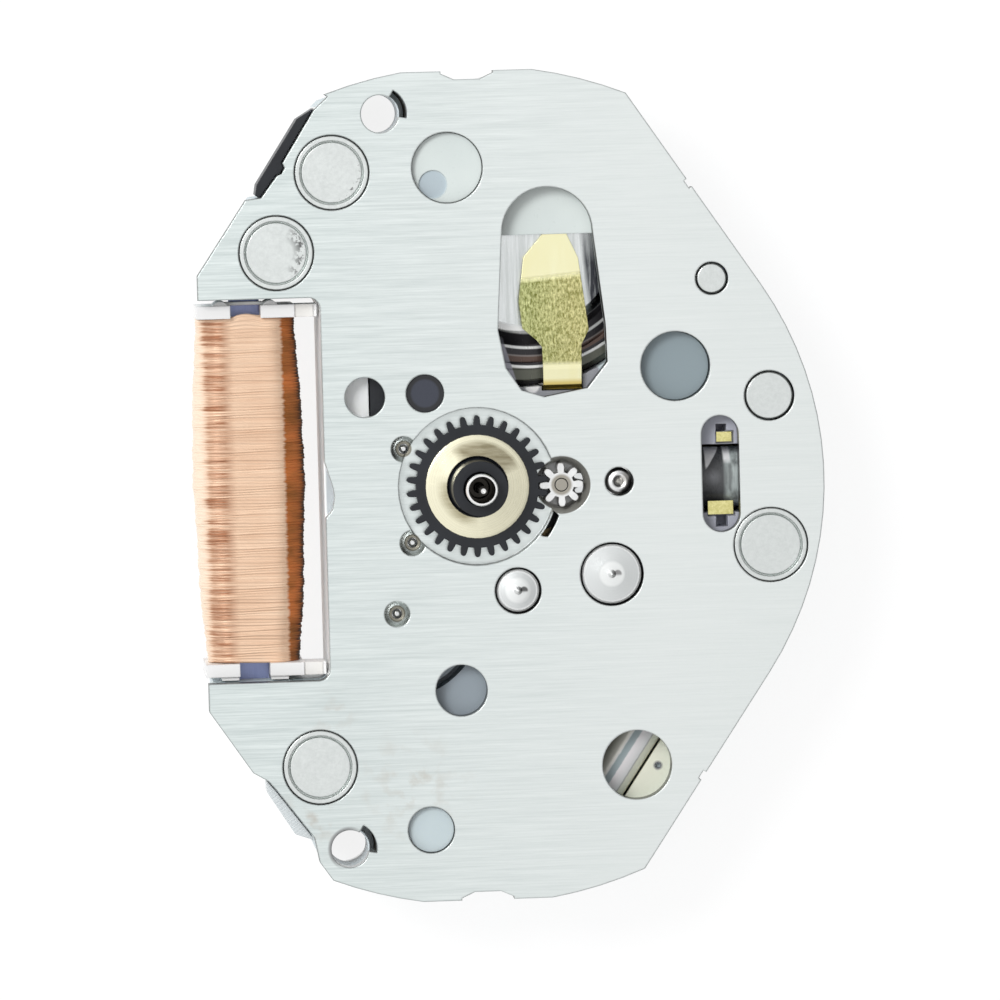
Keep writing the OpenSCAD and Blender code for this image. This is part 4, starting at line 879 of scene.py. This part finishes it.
def wound_loops(work):
    """The rings of vertices along the winding: each turn is a ridge, and turns lie unevenly."""
    rings = int(WIND_LENGTH / TURN_PITCH) * RINGS_PER_TURN
    loops = []
    proud = drift = 0.0
    for i in range(rings + 1):
        share = i / rings
        turn, step = divmod(i, RINGS_PER_TURN)
        if step == 0:
            proud = random.uniform(PROUD_LOW, PROUD_HIGH)
            drift = DRIFT_KEPT * drift + random.uniform(-DRIFT_STEP, DRIFT_STEP)
        ridge = RIDGE * math.sin(math.pi * step / RINGS_PER_TURN)
        width = wound_width(share) - SIDE_ROOM + 2 * (ridge + proud + drift)
        height = WIND_HEIGHT * wound_width(share) / WIDEST - TOP_ROOM + 2 * (ridge + proud)
        down = WIND_TOP - END_ROOM - share * (WIND_LENGTH - 2 * END_ROOM)
        ring = []
        for x, z in wound_ring(width, height):
            y = down + WANDER * math.sin(WANDER_ACROSS * x + WANDER_DOWN * z + WANDER_PER_TURN * turn)
            if z > 0:
                y += CROWN * max(0, 1 - (x / CROWN_HALF) ** 2) * max(0, 1 - share / CROWN_SHARE)
            ring.append(work.verts.new(((COIL_X + x) * MM, y * MM, (z - COIL_DEPTH) * MM)))
        loops.append(ring)
    return loops


def winding():
    """The winding, turn by turn, in place of the CAD model's plain solid."""
    work = bmesh.new()
    loops = wound_loops(work)
    for a, b in zip(loops, loops[1:]):
        for k in range(RING_POINTS):
            n = (k + 1) % RING_POINTS
            work.faces.new((a[k], a[n], b[n], b[k]))
    work.faces.new(loops[0])
    work.faces.new(reversed(loops[-1]))
    bmesh.ops.recalc_face_normals(work, faces=work.faces)
    mesh = bpy.data.meshes.new("winding_turns")
    work.to_mesh(mesh)
    work.free()
    for face in mesh.polygons:
        face.use_smooth = True
    mesh.update()
    mesh.materials.append(copper_wire())
    made = bpy.data.objects.new("winding_turns", mesh)
    bpy.context.collection.objects.link(made)
    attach(made, "movement")
    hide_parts("coil_winding")


def grey_shader(s, kind, level):
    """A diffuse or emission node of an even grey."""
    node = s.add(kind)
    s.put(node.inputs["Color"], (level, level, level))
    return node.outputs[0]


def floor():
    """A white floor that keeps a faint shadow of the part."""
    bpy.ops.mesh.primitive_circle_add(vertices=FLOOR_SIDES, radius=FLOOR_RADIUS * MM, fill_type="NGON",
                                      location=(0, 0, cad_box[0].z - FLOOR_GAP * MM))
    ground = bpy.context.object
    ground.name = "floor"
    s = Shader("floor_white")
    path = s.add("ShaderNodeLightPath").outputs
    seen = s.maths("ADD", path["Is Camera Ray"], path["Is Glossy Ray"])
    seen = s.maths("MINIMUM", s.maths("ADD", seen, path["Is Transmission Ray"]), 1.0)
    shown = s.add("ShaderNodeAddShader")
    s.put(shown.inputs[0], grey_shader(s, "ShaderNodeBsdfDiffuse", FLOOR_SHADED))
    s.put(shown.inputs[1], grey_shader(s, "ShaderNodeEmission", FLOOR_GLOW))
    mix = s.add("ShaderNodeMixShader")
    s.put(mix.inputs[0], seen)
    s.put(mix.inputs[1], grey_shader(s, "ShaderNodeBsdfDiffuse", FLOOR_LIT))
    s.put(mix.inputs[2], shown.outputs[0])
    output = s.add("ShaderNodeOutputMaterial")
    s.put(output.inputs["Surface"], mix.outputs[0])
    ground.data.materials.append(s.material)


def sky_wall(tree, height, stops):
    """The light of one side of the room, which follows the height."""
    ramp = tree.nodes.new("ShaderNodeValToRGB")
    ramp.color_ramp.interpolation = "EASE"
    elements = ramp.color_ramp.elements
    elements[0].position, elements[1].position = stops[0][0], stops[-1][0]
    for position, _ in stops[1:-1]:
        elements.new(position)
    for element, (_, level) in zip(elements, stops):
        element.color = (level, level, level * SKY_BLUE, 1)
    tree.links.new(height, ramp.inputs[0])
    return ramp.outputs["Color"]


def sky():
    """Studio light: white overhead, a bright wall on the left and a dark one on the right."""
    world = bpy.data.worlds.new("studio")
    bpy.context.scene.world = world
    world.use_nodes = True
    tree = world.node_tree
    tree.nodes.clear()
    place = tree.nodes.new("ShaderNodeTexCoord")
    split = tree.nodes.new("ShaderNodeSeparateXYZ")
    tree.links.new(place.outputs["Generated"], split.inputs[0])
    side = tree.nodes.new("ShaderNodeMapRange")
    side.interpolation_type = "SMOOTHSTEP"
    side.inputs["From Min"].default_value = LEFT_ENDS
    side.inputs["From Max"].default_value = RIGHT_STARTS
    tree.links.new(split.outputs["X"], side.inputs["Value"])
    mix = tree.nodes.new("ShaderNodeMix")
    mix.data_type = "RGBA"
    tree.links.new(side.outputs["Result"], mix.inputs[0])
    tree.links.new(sky_wall(tree, split.outputs["Z"], LEFT_LIGHT), mix.inputs[6])
    tree.links.new(sky_wall(tree, split.outputs["Z"], RIGHT_LIGHT), mix.inputs[7])
    light = tree.nodes.new("ShaderNodeBackground")
    tree.links.new(mix.outputs[2], light.inputs["Color"])
    output = tree.nodes.new("ShaderNodeOutputWorld")
    tree.links.new(light.outputs[0], output.inputs[0])


def lamp():
    """A round lamp at the upper left, which points at the part."""
    data = bpy.data.lights.new("key", "AREA")
    data.shape = "DISK"
    data.size = KEY_SIZE * MM
    data.energy = KEY_WATTS
    made = bpy.data.objects.new("key", data)
    bpy.context.collection.objects.link(made)
    made.location = Vector(KEY_PLACE) * MM
    made.rotation_euler = (-made.location).to_track_quat("-Z", "Y").to_euler()


def camera():
    """The photograph's view, from a little to the left and the top: tall parts lean right and down."""
    right = Vector((math.cos(ROLL), -math.sin(ROLL), 0))
    up = Vector((math.sin(ROLL), math.cos(ROLL), 0))
    back = (Vector((0, 0, 1)) - math.tan(LEAN_LEFT) * right + math.tan(LEAN_UP) * up).normalized()
    across = up.cross(back).normalized()
    data = bpy.data.cameras.new("photo")
    made = bpy.data.objects.new("photo", data)
    bpy.context.collection.objects.link(made)
    turn = Matrix((across, back.cross(across), back)).transposed()
    made.matrix_world = Matrix.Translation((AIM + CAMERA_DISTANCE * back) * MM) @ turn.to_4x4()
    data.sensor_width = SENSOR
    data.lens = PIXELS_PER_MM * CAMERA_DISTANCE * SENSOR / IMAGE_SIZE
    data.clip_start = CLIP_NEAR * MM
    data.clip_end = CLIP_FAR * MM
    bpy.context.scene.camera = made


camera()
floor()
sky()
lamp()
smooth_shading()
finish_all()
winding()
bpy.context.scene.view_settings.view_transform = "Standard"
